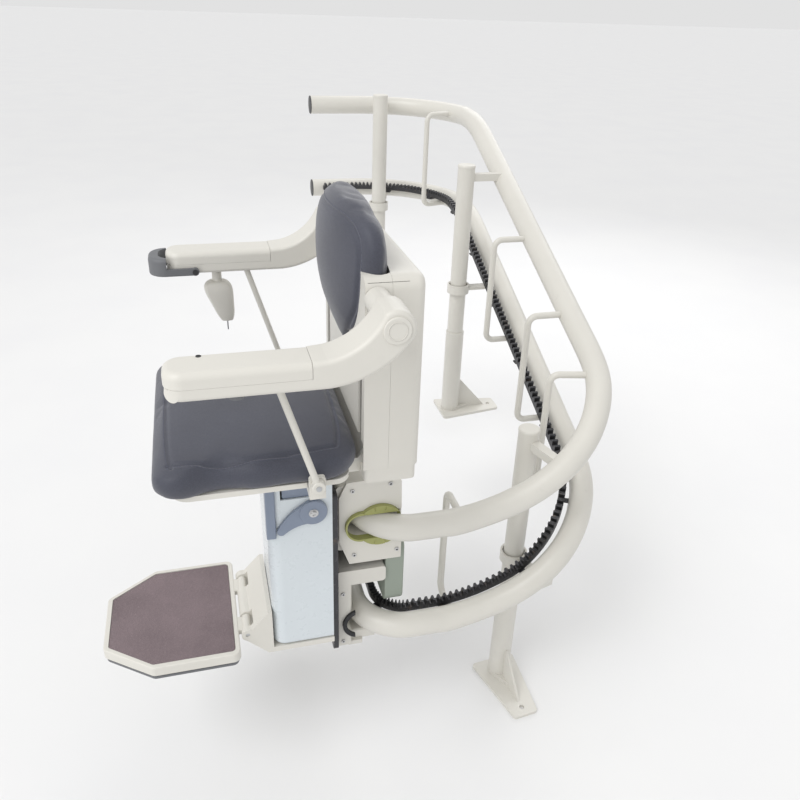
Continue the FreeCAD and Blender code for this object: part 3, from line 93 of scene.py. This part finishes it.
class Finish:
    """Node graph of one finish, built up layer by layer on Object coordinates."""

    def __init__(self, name, colour, roughness, metallic=0.0):
        self.material = bpy.data.materials.new(name)
        self.material.use_nodes = True
        self.tree = self.material.node_tree
        self.shader = self.tree.nodes["Principled BSDF"]
        self.place = self.tree.nodes.new("ShaderNodeTexCoord").outputs["Object"]
        self.shader.inputs["Metallic"].default_value = metallic
        self.shader.inputs["Roughness"].default_value = roughness
        self.shader.inputs["Base Color"].default_value = (*colour, 1)
        self.colour = None
        self.base = colour
        self.normal = None

    def node(self, kind, **values):
        made = self.tree.nodes.new(kind)
        for key, value in values.items():
            if hasattr(made, key):
                setattr(made, key, value)
            else:
                made.inputs[key.replace("_", " ")].default_value = value
        return made

    def link(self, a, b):
        self.tree.links.new(a, b)

    def noise(self, scale, detail=3.0, stretch=None):
        noise = self.node("ShaderNodeTexNoise", Scale=scale, Detail=detail)
        self.link(self.stretched(stretch), noise.inputs["Vector"])
        return noise.outputs["Fac"]

    def cells(self, scale, feature="F1"):
        cells = self.node("ShaderNodeTexVoronoi", feature=feature, Scale=scale)
        self.link(self.place, cells.inputs["Vector"])
        return cells.outputs["Distance"]

    def stretched(self, stretch):
        if not stretch:
            return self.place
        mapping = self.node("ShaderNodeMapping")
        mapping.inputs["Scale"].default_value = stretch
        self.link(self.place, mapping.inputs["Vector"])
        return mapping.outputs["Vector"]

    def ramp(self, source, low, high, start=(0, 0, 0), end=(1, 1, 1)):
        ramp = self.node("ShaderNodeValToRGB")
        ramp.color_ramp.elements[0].position = low
        ramp.color_ramp.elements[1].position = high
        ramp.color_ramp.elements[0].color = (*start, 1)
        ramp.color_ramp.elements[1].color = (*end, 1)
        self.link(source, ramp.inputs["Fac"])
        return ramp.outputs["Color"]

    def tint(self, source, colour, low=0.45, high=0.65, strength=1.0):
        """Mixes a second colour in where the pattern is high."""
        mask = self.ramp(source, low, high, end=(strength,) * 3)
        mix = self.node("ShaderNodeMix", data_type="RGBA")
        self.link(mask, mix.inputs["Factor"])
        if self.colour:
            self.link(self.colour, mix.inputs[6])
        else:
            mix.inputs[6].default_value = (*self.base, 1)
        mix.inputs[7].default_value = (*colour, 1)
        self.colour = mix.outputs[2]
        self.link(self.colour, self.shader.inputs["Base Color"])
        return self

    def rough(self, source, low, high):
        """Lets a pattern vary the roughness between two values."""
        span = self.node("ShaderNodeMapRange")
        span.inputs["To Min"].default_value = low
        span.inputs["To Max"].default_value = high
        self.link(source, span.inputs["Value"])
        self.link(span.outputs["Result"], self.shader.inputs["Roughness"])
        return self

    def bump(self, source, height, strength=1.0):
        """Adds relief of a height in metres."""
        bump = self.node("ShaderNodeBump", Strength=strength, Distance=height)
        self.link(source, bump.inputs["Height"])
        if self.normal:
            self.link(self.normal, bump.inputs["Normal"])
        self.normal = bump.outputs["Normal"]
        self.link(self.normal, self.shader.inputs["Normal"])
        return self

    def gloss(self, coat=0.0, coat_rough=0.1, sheen=0.0, level=0.5):
        self.shader.inputs["Coat Weight"].default_value = coat
        self.shader.inputs["Coat Roughness"].default_value = coat_rough
        self.shader.inputs["Sheen Weight"].default_value = sheen
        self.shader.inputs["Specular IOR Level"].default_value = level
        return self


def shade(colour, factor):
    """Darker or lighter copy of a colour."""
    return tuple(min(1.0, c * factor) for c in colour)


def powder_coat(name, colour):
    f = Finish(name, colour, 0.36)
    f.tint(f.noise(5, 4), shade(colour, 0.93), 0.4, 0.75)
    f.tint(f.noise(60, 6), shade(colour, 0.86), 0.66, 0.8, 0.5)
    f.rough(f.noise(90, 4), 0.3, 0.46)
    f.bump(f.noise(700, 2), 0.00012, 0.5)
    return f.gloss(coat=0.15, coat_rough=0.25)


def moulded(name, colour, roughness=0.42, grain=1100, relief=0.00006, coat=0.0, wear=0.45):
    f = Finish(name, colour, roughness)
    f.tint(f.noise(4, 3), shade(colour, 0.96), 0.4, 0.8)
    f.tint(f.noise(24, 3), shade(colour, 0.9), 0.62, 0.9, wear)
    f.rough(f.noise(70, 5), roughness - 0.07, roughness + 0.09)
    f.bump(f.noise(grain, 2), relief, 0.6)
    return f.gloss(coat=coat, coat_rough=0.12)


def machined(name, colour, roughness=0.32):
    f = Finish(name, colour, roughness, 1.0)
    f.tint(f.noise(30, 5), shade(colour, 0.7), 0.45, 0.75)
    f.rough(f.noise(600, 3, (1, 1, 6)), roughness - 0.1, roughness + 0.16)
    f.bump(f.noise(900, 2, (1, 1, 8)), 0.00004, 0.5)
    return f


def oiled_steel(name, colour):
    f = Finish(name, colour, 0.4, 0.85)
    f.tint(f.noise(55, 6), (0.20, 0.15, 0.11), 0.6, 0.78, 0.6)
    f.tint(f.noise(160, 4), (0.34, 0.34, 0.35), 0.62, 0.8, 0.5)
    f.rough(f.noise(90, 5), 0.25, 0.6)
    return f.bump(f.noise(500, 3), 0.00008, 0.5)


def leatherette(name, colour):
    f = Finish(name, colour, 0.5)
    f.tint(f.noise(7, 4), shade(colour, 1.35), 0.42, 0.78)
    f.tint(f.cells(900), shade(colour, 0.62), 0.25, 0.6, 0.7)
    f.rough(f.noise(300, 4), 0.42, 0.62)
    f.bump(f.cells(900), 0.00022, 0.7)
    f.bump(f.noise(60, 4), 0.0006, 0.25)
    return f.gloss(sheen=0.25, level=0.4)


def grip_mat(name, colour):
    f = Finish(name, colour, 0.85)
    f.tint(f.noise(9, 4), shade(colour, 0.8), 0.4, 0.7)
    f.tint(f.noise(900, 2), shade(colour, 1.7), 0.56, 0.64, 0.8)
    f.tint(f.noise(760, 2), shade(colour, 0.35), 0.58, 0.66, 0.8)
    return f.bump(f.noise(850, 3), 0.0005, 0.8)


def ribbed_rubber(name, colour):
    f = Finish(name, colour, 0.7)
    f.tint(f.noise(40, 5), shade(colour, 1.9), 0.55, 0.8)
    f.rough(f.noise(120, 4), 0.55, 0.85)
    return f.bump(f.noise(650, 3), 0.0001, 0.6)


def thread(name, colour):
    f = Finish(name, colour, 0.7)
    f.tint(f.noise(2500, 2), shade(colour, 0.55), 0.45, 0.6)
    return f.bump(f.noise(3000, 2), 0.00015, 0.8)


def finishes(look):
    """Every finish by the record's slot name, plus those of the added pieces."""
    cream = tuple(look.cream)
    return {
        "cream_paint": powder_coat("cream_paint", cream),
        "cream_plastic": moulded("cream_plastic", shade(cream, 1.02), 0.4),
        "white_plastic": moulded("white_plastic", tuple(look.housing), 0.28, 900, 0.00001, 0.4, 0.15),
        "dark_steel": oiled_steel("dark_steel", (0.075, 0.075, 0.08)),
        "steel": machined("steel", (0.56, 0.57, 0.58)),
        "grey_plastic": moulded("grey_plastic", (0.15, 0.155, 0.165), 0.5),
        "dark_plastic": moulded("dark_plastic", (0.03, 0.03, 0.033), 0.45),
        "olive_nylon": moulded("olive_nylon", (0.33, 0.34, 0.12), 0.5),
        "olive_plastic": moulded("olive_plastic", (0.30, 0.34, 0.29), 0.5),
        "rubber": ribbed_rubber("rubber", (0.022, 0.022, 0.024)),
        "lever_blue": moulded("lever_blue", (0.21, 0.25, 0.33), 0.34, coat=0.2),
        "leatherette": leatherette("leatherette", tuple(look.upholstery)),
        "mat_rubber": grip_mat("mat_rubber", tuple(look.mat)),
        "battery": moulded("battery", (0.03, 0.03, 0.03), 0.5),
        "board": moulded("board", (0.02, 0.12, 0.05), 0.4),
        "stitching": thread("stitching", shade(tuple(look.upholstery), 2.2)),
        "screw_steel": machined("screw_steel", (0.62, 0.62, 0.62), 0.28),
        "shadow_gap": ribbed_rubber("shadow_gap", (0.01, 0.01, 0.011)),
    }


FINISH = {}


def dress(obj, slot_name, material_name=None):
    """Gives a new piece its finish, by the finish's name or else by the slot's name."""
    obj.data.materials.clear()
    obj.data.materials.append(FINISH[material_name or slot_name].material)
    return obj


# Mesh tools

def piece(name, mesh_tool, body, slot_name, material_name=None, smooth=True):
    """Turns a bmesh into a piece that rides on a body."""
    mesh = bpy.data.meshes.new(name)
    mesh_tool.to_mesh(mesh)
    mesh_tool.free()
    if smooth:
        for face in mesh.polygons:
            face.use_smooth = True
    obj = bpy.data.objects.new(name, mesh)
    bpy.context.scene.collection.objects.link(obj)
    dress(obj, slot_name, material_name)
    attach(obj, body)
    return obj


def aim(direction):
    """Rotation that turns +Z to a direction."""
    return Vector(UPWARD).rotation_difference(Vector(direction)).to_matrix().to_4x4()


def add_post(bm, radius, height, sides):
    """Corners of an upright round, centred on the origin."""
    made = bmesh.ops.create_cone(bm, cap_ends=True, segments=sides,
                                 radius1=radius, radius2=radius, depth=height)
    return made["verts"]


def stand(bm, verts, centre, direction, height):
    """Moves an upright round so that it stands on a point along a direction."""
    matrix = Matrix.Translation(centre) @ aim(direction) @ Matrix.Translation((0, 0, height / 2))
    bmesh.ops.transform(bm, matrix=matrix, verts=verts)


def add_disc(bm, centre, direction, radius, height, sides=32, bevel=0.0):
    """Round plate standing on a point; its upper edge may be bevelled."""
    verts = add_post(bm, radius, height, sides)
    if bevel:
        rim = [e for e in bm.edges if e.verts[0] in verts and e.verts[1] in verts
               and all(v.co.z > height / 2 - 1e-7 for v in e.verts)]
        cut = bmesh.ops.bevel(bm, geom=rim, offset=bevel, segments=3, profile=0.5,
                              affect="EDGES", material=-1)
        verts = [v for v in set(verts + cut["verts"]) if v.is_valid]
    stand(bm, verts, centre, direction, height)


def add_socket_screw(bm, centre, direction, radius, height):
    """Cap screw: a bevelled head whose round socket is sunk into it."""
    verts = add_post(bm, radius, height, 24)
    top = [f for f in bm.faces if all(v in verts for v in f.verts) and f.normal.z > 0.9]
    if not top:
        bmesh.ops.recalc_face_normals(bm, faces=[f for f in bm.faces if f.verts[0] in verts])
        top = [f for f in bm.faces if all(v in verts for v in f.verts) and f.normal.z > 0.9]
    rim = bmesh.ops.inset_region(bm, faces=top, thickness=radius * 0.14, depth=height * 0.12)
    well = bmesh.ops.inset_region(bm, faces=top, thickness=radius * 0.32, depth=0)
    sunk = bmesh.ops.inset_region(bm, faces=top, thickness=radius * 0.02, depth=-height * 0.6)
    for grown in (rim, well, sunk):
        for face in grown["faces"]:
            verts += [v for v in face.verts if v not in verts]
    verts += [v for f in top for v in f.verts if v not in verts]
    stand(bm, verts, centre, direction, height)


def add_ring(bm, centre, direction, outer, inner, height, sides, inner_sides):
    """Low raised ring standing on a point, open in the middle; its opening may be a hexagon."""
    matrix = Matrix.Translation(centre) @ aim(direction)
    step = math.lcm(sides, inner_sides)
    verts = []
    for top in (0, height):
        for limit, count in ((outer, sides), (inner, inner_sides)):
            loop = []
            for k in range(step):
                angle = 2 * math.pi * k / step
                inside = (angle % (2 * math.pi / count)) - math.pi / count
                radius = limit * math.cos(math.pi / count) / math.cos(inside)
                corner = Vector((radius * math.cos(angle), radius * math.sin(angle), top))
                loop.append(bm.verts.new(matrix @ corner))
            verts.append(loop)
    low_out, low_in, high_out, high_in = verts
    for a, b in ((low_out, high_out), (high_out, high_in), (high_in, low_in), (low_in, low_out)):
        for k in range(step):
            after = (k + 1) % step
            bm.faces.new((a[k], a[after], b[after], b[k]))


def islands(node):
    """Corners of the box round each loose part of a CAD node, in the mesh's own order."""
    bm = merged_copy(node)
    left = dict.fromkeys(bm.verts)
    boxes = []
    while left:
        grown = [left.popitem()[0]]
        part = []
        while grown:
            vert = grown.pop()
            part.append(vert.co.copy())
            for edge in vert.link_edges:
                other = edge.other_vert(vert)
                if other in left:
                    del left[other]
                    grown.append(other)
        boxes.append(corners_of(part))
    bm.free()
    return boxes


def corners_of(points):
    """Lowest and highest corner of the box round some points."""
    return (Vector([min(p[i] for p in points) for i in range(3)]),
            Vector([max(p[i] for p in points) for i in range(3)]))


def joint_place(name):
    """Point on a joint's axis, in metres of the row frame."""
    joints = frame["record"]["behaviour"]["joints"]
    return Vector(next(joint["pos_m"] for joint in joints if joint["name"] == name))


def merged_copy(node):
    """Copy of a CAD node's mesh with its loose triangles joined."""
    bm = bmesh.new()
    bm.from_mesh(NODES[node].data)
    bmesh.ops.remove_doubles(bm, verts=bm.verts, dist=1e-5)
    return bm


# Cushions

def puffed(node, name, body, cap):
    """Cushion from a CAD solid: remeshed, blown up as cloth within a cap, and smoothed."""
    obj = piece(name, merged_copy(node), body, "leatherette")
    verts = obj.data.vertices
    centre = sum((v.co for v in verts), Vector()) / len(verts)
    for v in verts:
        v.co = centre + (v.co - centre) * SHRINK_BEFORE_SWELL
    remesh = obj.modifiers.new("even", "REMESH")
    remesh.mode = "VOXEL"
    remesh.voxel_size = VOXEL
    remesh.use_smooth_shade = True
    apply_modifiers(obj)
    rest = [v.co.copy() for v in obj.data.vertices]
    cloth = obj.modifiers.new("stuffing", "CLOTH")
    cloth.settings.use_pressure = True
    cloth.settings.uniform_pressure_force = STUFFING_PRESSURE
    cloth.settings.effector_weights.gravity = 0
    cloth.settings.tension_stiffness = 20
    cloth.settings.bending_stiffness = 2
    cloth.point_cache.frame_start = 1
    cloth.point_cache.frame_end = CLOTH_STEPS
    for step in range(1, CLOTH_STEPS + 1):
        bpy.context.scene.frame_set(step)
    apply_modifiers(obj)
    bpy.context.scene.frame_set(1)
    for v, start in zip(obj.data.vertices, rest):
        move = v.co - start
        if move.length > cap:
            v.co = start + move.normalized() * cap
    smooth = obj.modifiers.new("calm", "SMOOTH")
    smooth.factor = 0.5
    smooth.iterations = 6
    finer = obj.modifiers.new("finer", "SUBSURF")
    finer.levels = 1
    finer.render_levels = 1
    apply_modifiers(obj)
    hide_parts(node)
    return obj


def apply_modifiers(obj):
    """Bakes an object's modifiers into its mesh."""
    bpy.context.view_layer.update()
    graph = bpy.context.evaluated_depsgraph_get()
    baked = bpy.data.meshes.new_from_object(obj.evaluated_get(graph), depsgraph=graph)
    old = obj.data
    obj.modifiers.clear()
    obj.data = baked
    if not baked.materials and old.materials:
        baked.materials.append(old.materials[0])
    for face in baked.polygons:
        face.use_smooth = True
    bpy.data.meshes.remove(old)


def fit_box(obj, node, drop=0.0):
    """Scales a cushion to its CAD solid's box, whose floor may drop over the rim that carries it."""
    low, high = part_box(node)
    low = low - Vector((0, 0, drop))
    mine_low, mine_high = corners_of([v.co for v in obj.data.vertices])
    for v in obj.data.vertices:
        for i in range(3):
            share = (v.co[i] - mine_low[i]) / (mine_high[i] - mine_low[i])
            v.co[i] = low[i] + share * (high[i] - low[i])


def outline_distance(loop, points):
    """Distance of each flat point to a closed outline."""
    best = np.full(len(points), 1e9)
    for i, corner in enumerate(loop):
        start = np.array(corner)
        run = np.array(loop[(i + 1) % len(loop)]) - start
        share = np.clip((points - start) @ run / (run @ run), 0, 1)
        gap = points - start - share[:, None] * run
        best = np.minimum(best, np.hypot(gap[:, 0], gap[:, 1]))
    return best


def sewn_channel(obj, loop, axes, facing, depth):
    """Presses a seam into the side of a cushion that faces a direction, along a closed outline."""
    facing = np.array(facing, float)
    count = len(obj.data.vertices)
    places = np.empty(count * 3)
    normals = np.empty(count * 3)
    obj.data.vertices.foreach_get("co", places)
    obj.data.vertices.foreach_get("normal", normals)
    places = places.reshape(-1, 3)
    side = normals.reshape(-1, 3) @ facing
    gap = outline_distance(loop, places[:, axes])
    press = depth * np.exp(-(gap / SEAM_WIDTH) ** 2) * np.clip(side * 1.6, 0, 1)
    press[(side < 0.25) | (gap > 3 * SEAM_WIDTH)] = 0
    obj.data.vertices.foreach_set("co", (places - facing * press[:, None]).ravel())
    obj.data.update()


def stitches(name, cushion, loop, lift, facing, body):
    """Row of thread stitches laid beside a sewn channel."""
    bm = bmesh.new()
    tree = BVHTree.FromPolygons([v.co for v in cushion.data.vertices],
                                [tuple(p.vertices) for p in cushion.data.polygons])
    facing = Vector(facing)
    above = facing * 0.08
    for a, b in spaced(loop, STITCH_PITCH):
        start = tree.ray_cast(lift(*a) + above, -facing)[0]
        end = tree.ray_cast(lift(*b) + above, -facing)[0]
        if not start or not end or (end - start).length > STITCH_PITCH * 2.5:
            continue
        made = bmesh.ops.create_uvsphere(bm, u_segments=8, v_segments=5, radius=THREAD_RADIUS)
        stretch = Matrix.Diagonal((1, 1, STITCH_HALF_LENGTH / THREAD_RADIUS, 1))
        place = Matrix.Translation((start + end) / 2 + facing * 0.0003)
        matrix = place @ aim((end - start).normalized()) @ stretch
        bmesh.ops.transform(bm, matrix=matrix, verts=made["verts"])
    piece(name, bm, body, "leatherette", "stitching")


def spaced(loop, spacing):
    """Pairs of points along a closed outline, one pair to each stitch."""
    runs = []
    carry = 0.0
    count = len(loop)
    for i in range(count):
        a, b = Vector(loop[i]), Vector(loop[(i + 1) % count])
        length = (b - a).length
        place = carry
        while place < length:
            first = a + (b - a) * (place / length)
            second = a + (b - a) * (min(length, place + spacing * 0.55) / length)
            runs.append((tuple(first), tuple(second)))
            place += spacing
        carry = place - length
    return runs


def inset_loop(points, distance):
    """Outline moved inwards, for an outline that runs counter-clockwise."""
    moved = []
    count = len(points)
    for i, here in enumerate(points):
        run = (Vector(points[(i + 1) % count]) - Vector(points[i - 1])).normalized()
        moved.append(tuple(Vector(here) + Vector((-run.y, run.x)) * distance))
    return moved


def rounded_loop(corners, rounds):
    """Smooth closed outline from corner points, by cutting the corners a few times."""
    points = [Vector(c) for c in corners]
    for _ in range(rounds):
        cut = []
        for i, here in enumerate(points):
            after = points[(i + 1) % len(points)]
            cut.append(here * 0.75 + after * 0.25)
            cut.append(here * 0.25 + after * 0.75)
        points = cut
    return [tuple(p) for p in points]


def seat_outline():
    """Seat cushion's outline from above, counter-clockwise, in metres of the row frame."""
    corners = [(-205, -43), (205, -43), (236, -18), (236, 262),
               (190, 311), (-190, 311), (-236, 262), (-236, -18)]
    return rounded_loop([tuple(at(x, y, 0).xy) for x, y in corners], 3)


def back_outline():
    """Back cushion's outline from the front, as (X, Z), counter-clockwise."""
    half = [(0, 1008), (36, 1014), (76, 1050), (120, 1090), (153, 1130), (169, 1185),
            (174, 1232), (168, 1268), (140, 1293), (96, 1304), (40, 1307)]
    ring = half + [(-x, z) for x, z in half[:0:-1]]
    return rounded_loop([(at(x, 0, z).x, at(x, 0, z).z) for x, z in ring], 2)


class StairliftLook(bpy.types.PropertyGroup):
    """Sizes and colours of the stairlift's look."""
    cream: FloatVectorProperty(name="Cream", description="Paint of the rail and mouldings of the chair",
                               subtype="COLOR", size=3, min=0, max=1, default=(0.67, 0.652, 0.60))
    housing: FloatVectorProperty(name="Housing", description="Bluish white of the carriage housing",
                                 subtype="COLOR", size=3, min=0, max=1, default=(0.64, 0.69, 0.72))
    upholstery: FloatVectorProperty(name="Upholstery", description="Leatherette of seat and back",
                                    subtype="COLOR", size=3, min=0, max=1, default=(0.066, 0.070, 0.095))
    mat: FloatVectorProperty(name="Foot mat", description="Speckled mat of the footrest",
                             subtype="COLOR", size=3, min=0, max=1, default=(0.20, 0.155, 0.165))
    seam_inset: FloatProperty(name="Seam inset", description="Distance of the seat's seam from its edge",
                              unit="LENGTH", default=0.026, min=0.01, max=0.06)
    seam_depth: FloatProperty(name="Seam depth", description="Depth of the sewn channels",
                              unit="LENGTH", default=0.0035, min=0, max=0.01)
    rim_cover: FloatProperty(name="Rim cover",
                             description="How far the seat's cover reaches down over the pan's rim",
                             unit="LENGTH", default=0.009, min=0, max=0.02)
    floor_size: FloatProperty(name="Floor size", description="Width of the studio floor",
                              unit="LENGTH", default=160.0, min=4, max=400)


class STAIRLIFT_OT_finishes(bpy.types.Operator):
    """Make the finishes and put them on the CAD nodes"""
    bl_idname = "stairlift.finishes"
    bl_label = "Finishes"

    def execute(self, context):
        FINISH.update(finishes(context.scene.stairlift))
        slots = {entry["node"]: entry["material_slot"] for entry in frame["record"]["subparts"]}
        for name, node in NODES.items():
            node.data.materials.clear()
            node.data.materials.append(FINISH[slots[name]].material)
        return {"FINISHED"}


class STAIRLIFT_OT_seat_cushion(bpy.types.Operator):
    """Make the seat cushion with its sewn border"""
    bl_idname = "stairlift.seat_cushion"
    bl_label = "Seat cushion"

    def execute(self, context):
        look = context.scene.stairlift
        cushion = puffed("seat_pad", "seat_cushion", "seat", SEAT_SWELL)
        fit_box(cushion, "seat_pad", look.rim_cover)
        seam = inset_loop(seat_outline(), look.seam_inset)
        sewn_channel(cushion, seam, (0, 1), UPWARD, look.seam_depth)
        row = inset_loop(seat_outline(), look.seam_inset - SEAM_TO_STITCHES)
        stitches("seat_stitches", cushion, row,
                 lambda u, v: Vector((u, v, at(0, 0, 930).z)), UPWARD, "seat")
        return {"FINISHED"}


class STAIRLIFT_OT_back_cushion(bpy.types.Operator):
    """Make the spoon-shaped back cushion with its sewn border"""
    bl_idname = "stairlift.back_cushion"
    bl_label = "Back cushion"

    def execute(self, context):
        look = context.scene.stairlift
        cushion = puffed("backrest_pad", "back_cushion", "chair", BACK_SWELL)
        fit_box(cushion, "backrest_pad")
        inset = look.seam_inset * BACK_INSET_SHARE
        sewn_channel(cushion, inset_loop(back_outline(), inset), (0, 2), FORWARD, look.seam_depth)
        stitches("back_stitches", cushion, inset_loop(back_outline(), inset - SEAM_TO_STITCHES),
                 lambda u, v: Vector((u, at(0, 300, 0).y, v)), FORWARD, "chair")
        return {"FINISHED"}


class STAIRLIFT_OT_screw_sockets(bpy.types.Operator):
    """Put a hexagon socket in each screw of the roller block: a raised ring with a hexagon opening, over a
    near-black hexagon disc that paints the shade inside the socket
    """
    bl_idname = "stairlift.screw_sockets"
    bl_label = "Screw sockets"

    def execute(self, context):
        rims = bmesh.new()
        # The sockets' dark insides are painted shade: flat near-black hexagon discs in the shadow_gap finish.
        socket_shade = bmesh.new()
        for low, high in islands("block_screws"):
            size = high - low
            radius = min(size.y, size.z) / 2
            face = Vector((high.x, (low.y + high.y) / 2, (low.z + high.z) / 2))
            add_ring(rims, face, LEFTWARD, radius * 0.92, radius * 0.55, 0.0005, 24, 6)
            # Painted shade: a near-black hexagon disc in the ring's opening, standing in for the shadow
            # inside the socket.
            add_disc(socket_shade, face, LEFTWARD, size.z * 0.27, 0.0001, 6)
        piece("screw_rims", rims, "carriage", "steel", "screw_steel", smooth=False)
        piece("screw_socket_shade", socket_shade, "carriage", "steel", "shadow_gap", smooth=False)
        return {"FINISHED"}


class STAIRLIFT_OT_lever_screw(bpy.types.Operator):
    """Put the cap screw with its washer on the swivel lever's boss"""
    bl_idname = "stairlift.lever_screw"
    bl_label = "Lever screw"

    def execute(self, context):
        bm = bmesh.new()
        boss = joint_place("swivel_lever_press")
        washer = 0.0012
        face = Vector((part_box("swivel_lever")[1].x, boss.y, boss.z))
        add_disc(bm, face, LEFTWARD, 0.0095, washer, 32, 0.0004)
        add_socket_screw(bm, face + Vector((washer, 0, 0)), LEFTWARD, 0.0062, 0.004)
        piece("lever_screw", bm, "swivel_lever", "lever_blue", "screw_steel", smooth=False)
        return {"FINISHED"}


class STAIRLIFT_OT_arm_lamp(bpy.types.Operator):
    """Put the small indicator lamp in the left armrest"""
    bl_idname = "stairlift.arm_lamp"
    bl_label = "Armrest lamp"

    def execute(self, context):
        bm = bmesh.new()
        lens = 0.003
        place = at(262, 54, 0)
        place.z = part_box("left_arm_pad")[1].z
        add_ring(bm, place, UPWARD, 0.0042, lens, 0.0007, 32, 32)
        add_disc(bm, place, UPWARD, lens, 0.0004, 32)
        piece("arm_lamp", bm, "left_arm", "dark_plastic")
        return {"FINISHED"}


class STAIRLIFT_OT_cap_lines(bpy.types.Operator):
    """Put the moulded ring on both pivot caps"""
    bl_idname = "stairlift.cap_lines"
    bl_label = "Pivot cap rings"

    def execute(self, context):
        for side, body in ((1, "left"), (-1, "right")):
            low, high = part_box(body + "_pivot_cap")
            middle = (low + high) / 2
            face = Vector((high.x if side > 0 else low.x, middle.y, middle.z))
            bm = bmesh.new()
            add_ring(bm, face, (side, 0, 0), 0.0155, 0.0138, 0.0006, 48, 48)
            piece(body + "_cap_ring", bm, body + "_arm", "cream_plastic")
        return {"FINISHED"}


class STAIRLIFT_OT_studio(bpy.types.Operator):
    """Make the floor, the lights and the camera"""
    bl_idname = "stairlift.studio"
    bl_label = "Studio"

    def execute(self, context):
        scene = context.scene
        bm = bmesh.new()
        bmesh.ops.create_grid(bm, x_segments=1, y_segments=1, size=scene.stairlift.floor_size / 2)
        mesh = bpy.data.meshes.new("studio_floor")
        bm.to_mesh(mesh)
        bm.free()
        floor = bpy.data.objects.new("studio_floor", mesh)
        scene.collection.objects.link(floor)
        pale = Finish("pale_floor", (0.80, 0.80, 0.80), 0.8)
        pale.tint(pale.noise(2, 3), (0.785, 0.785, 0.79), 0.4, 0.7)
        floor.data.materials.append(pale.material)
        add_light("key_sun", "SUN", (1.2, -2.6, 4.0), (0, 0, 0), energy=0.95, angle=0.5)
        add_light("side_softbox", "AREA", (2.8, -3.2, 3.0), (-0.3, -0.3, 0.8), energy=45, size=3.0)
        add_light("rear_softbox", "AREA", (-3.0, 1.8, 3.2), (-0.3, -0.3, 0.9), energy=40, size=3.0)
        world = bpy.data.worlds.new("studio_world")
        world.use_nodes = True
        sky = world.node_tree.nodes["Background"]
        sky.inputs["Color"].default_value = (1, 1, 1, 1)
        sky.inputs["Strength"].default_value = 0.76
        scene.world = world
        scene.view_settings.view_transform = "Standard"
        place_camera(scene)
        return {"FINISHED"}


def add_light(name, kind, place, target, **values):
    """Sun or square softbox turned to a target."""
    light = bpy.data.lights.new(name, kind)
    for key, value in values.items():
        setattr(light, key, value)
    obj = bpy.data.objects.new(name, light)
    bpy.context.scene.collection.objects.link(obj)
    obj.matrix_world = Matrix.Translation(place) @ aim(Vector(place) - Vector(target))


def place_camera(scene):
    """Camera at the photograph's place, which the chair's and the rail's straight edges give."""
    ahead = Vector((-0.849, 0.240, -0.471)).normalized()
    level = Vector((0.272, 0.962, 0)).normalized()
    level = (level - ahead * level.dot(ahead)).normalized()
    upright = level.cross(ahead)
    roll = math.radians(2.08)
    right = level * math.cos(roll) + upright * math.sin(roll)
    up = upright * math.cos(roll) - level * math.sin(roll)
    camera = bpy.data.cameras.new("photo_camera")
    camera.sensor_width = 36
    camera.lens = 33.75
    camera.clip_end = 300
    obj = bpy.data.objects.new("photo_camera", camera)
    scene.collection.objects.link(obj)
    turn = Matrix((right, up, -ahead)).transposed().to_4x4()
    obj.matrix_world = Matrix.Translation(at(1301, 70, 1601)) @ turn
    scene.camera = obj


class STAIRLIFT_PT_panel(bpy.types.Panel):
    """Sidebar panel with the sizes, the colours and the steps"""
    bl_idname = "STAIRLIFT_PT_panel"
    bl_label = "Stairlift"
    bl_space_type = "VIEW_3D"
    bl_region_type = "UI"
    bl_category = "Stairlift"

    def draw(self, context):
        for prop in StairliftLook.__annotations__:
            self.layout.prop(context.scene.stairlift, prop)
        for step in STEPS:
            self.layout.operator(step.bl_idname)


STEPS = (
    STAIRLIFT_OT_finishes,
    STAIRLIFT_OT_seat_cushion,
    STAIRLIFT_OT_back_cushion,
    STAIRLIFT_OT_screw_sockets,
    STAIRLIFT_OT_lever_screw,
    STAIRLIFT_OT_arm_lamp,
    STAIRLIFT_OT_cap_lines,
    STAIRLIFT_OT_studio,
)
CLASSES = (StairliftLook,) + STEPS + (STAIRLIFT_PT_panel,)


def register():
    for cls in CLASSES:
        bpy.utils.register_class(cls)
    bpy.types.Scene.stairlift = PointerProperty(type=StairliftLook)


def unregister():
    del bpy.types.Scene.stairlift
    for cls in reversed(CLASSES):
        bpy.utils.unregister_class(cls)


def main():
    register()
    for step in STEPS:
        group, name = step.bl_idname.split(".")
        getattr(getattr(bpy.ops, group), name)()


if __name__ == "__main__":
    main()
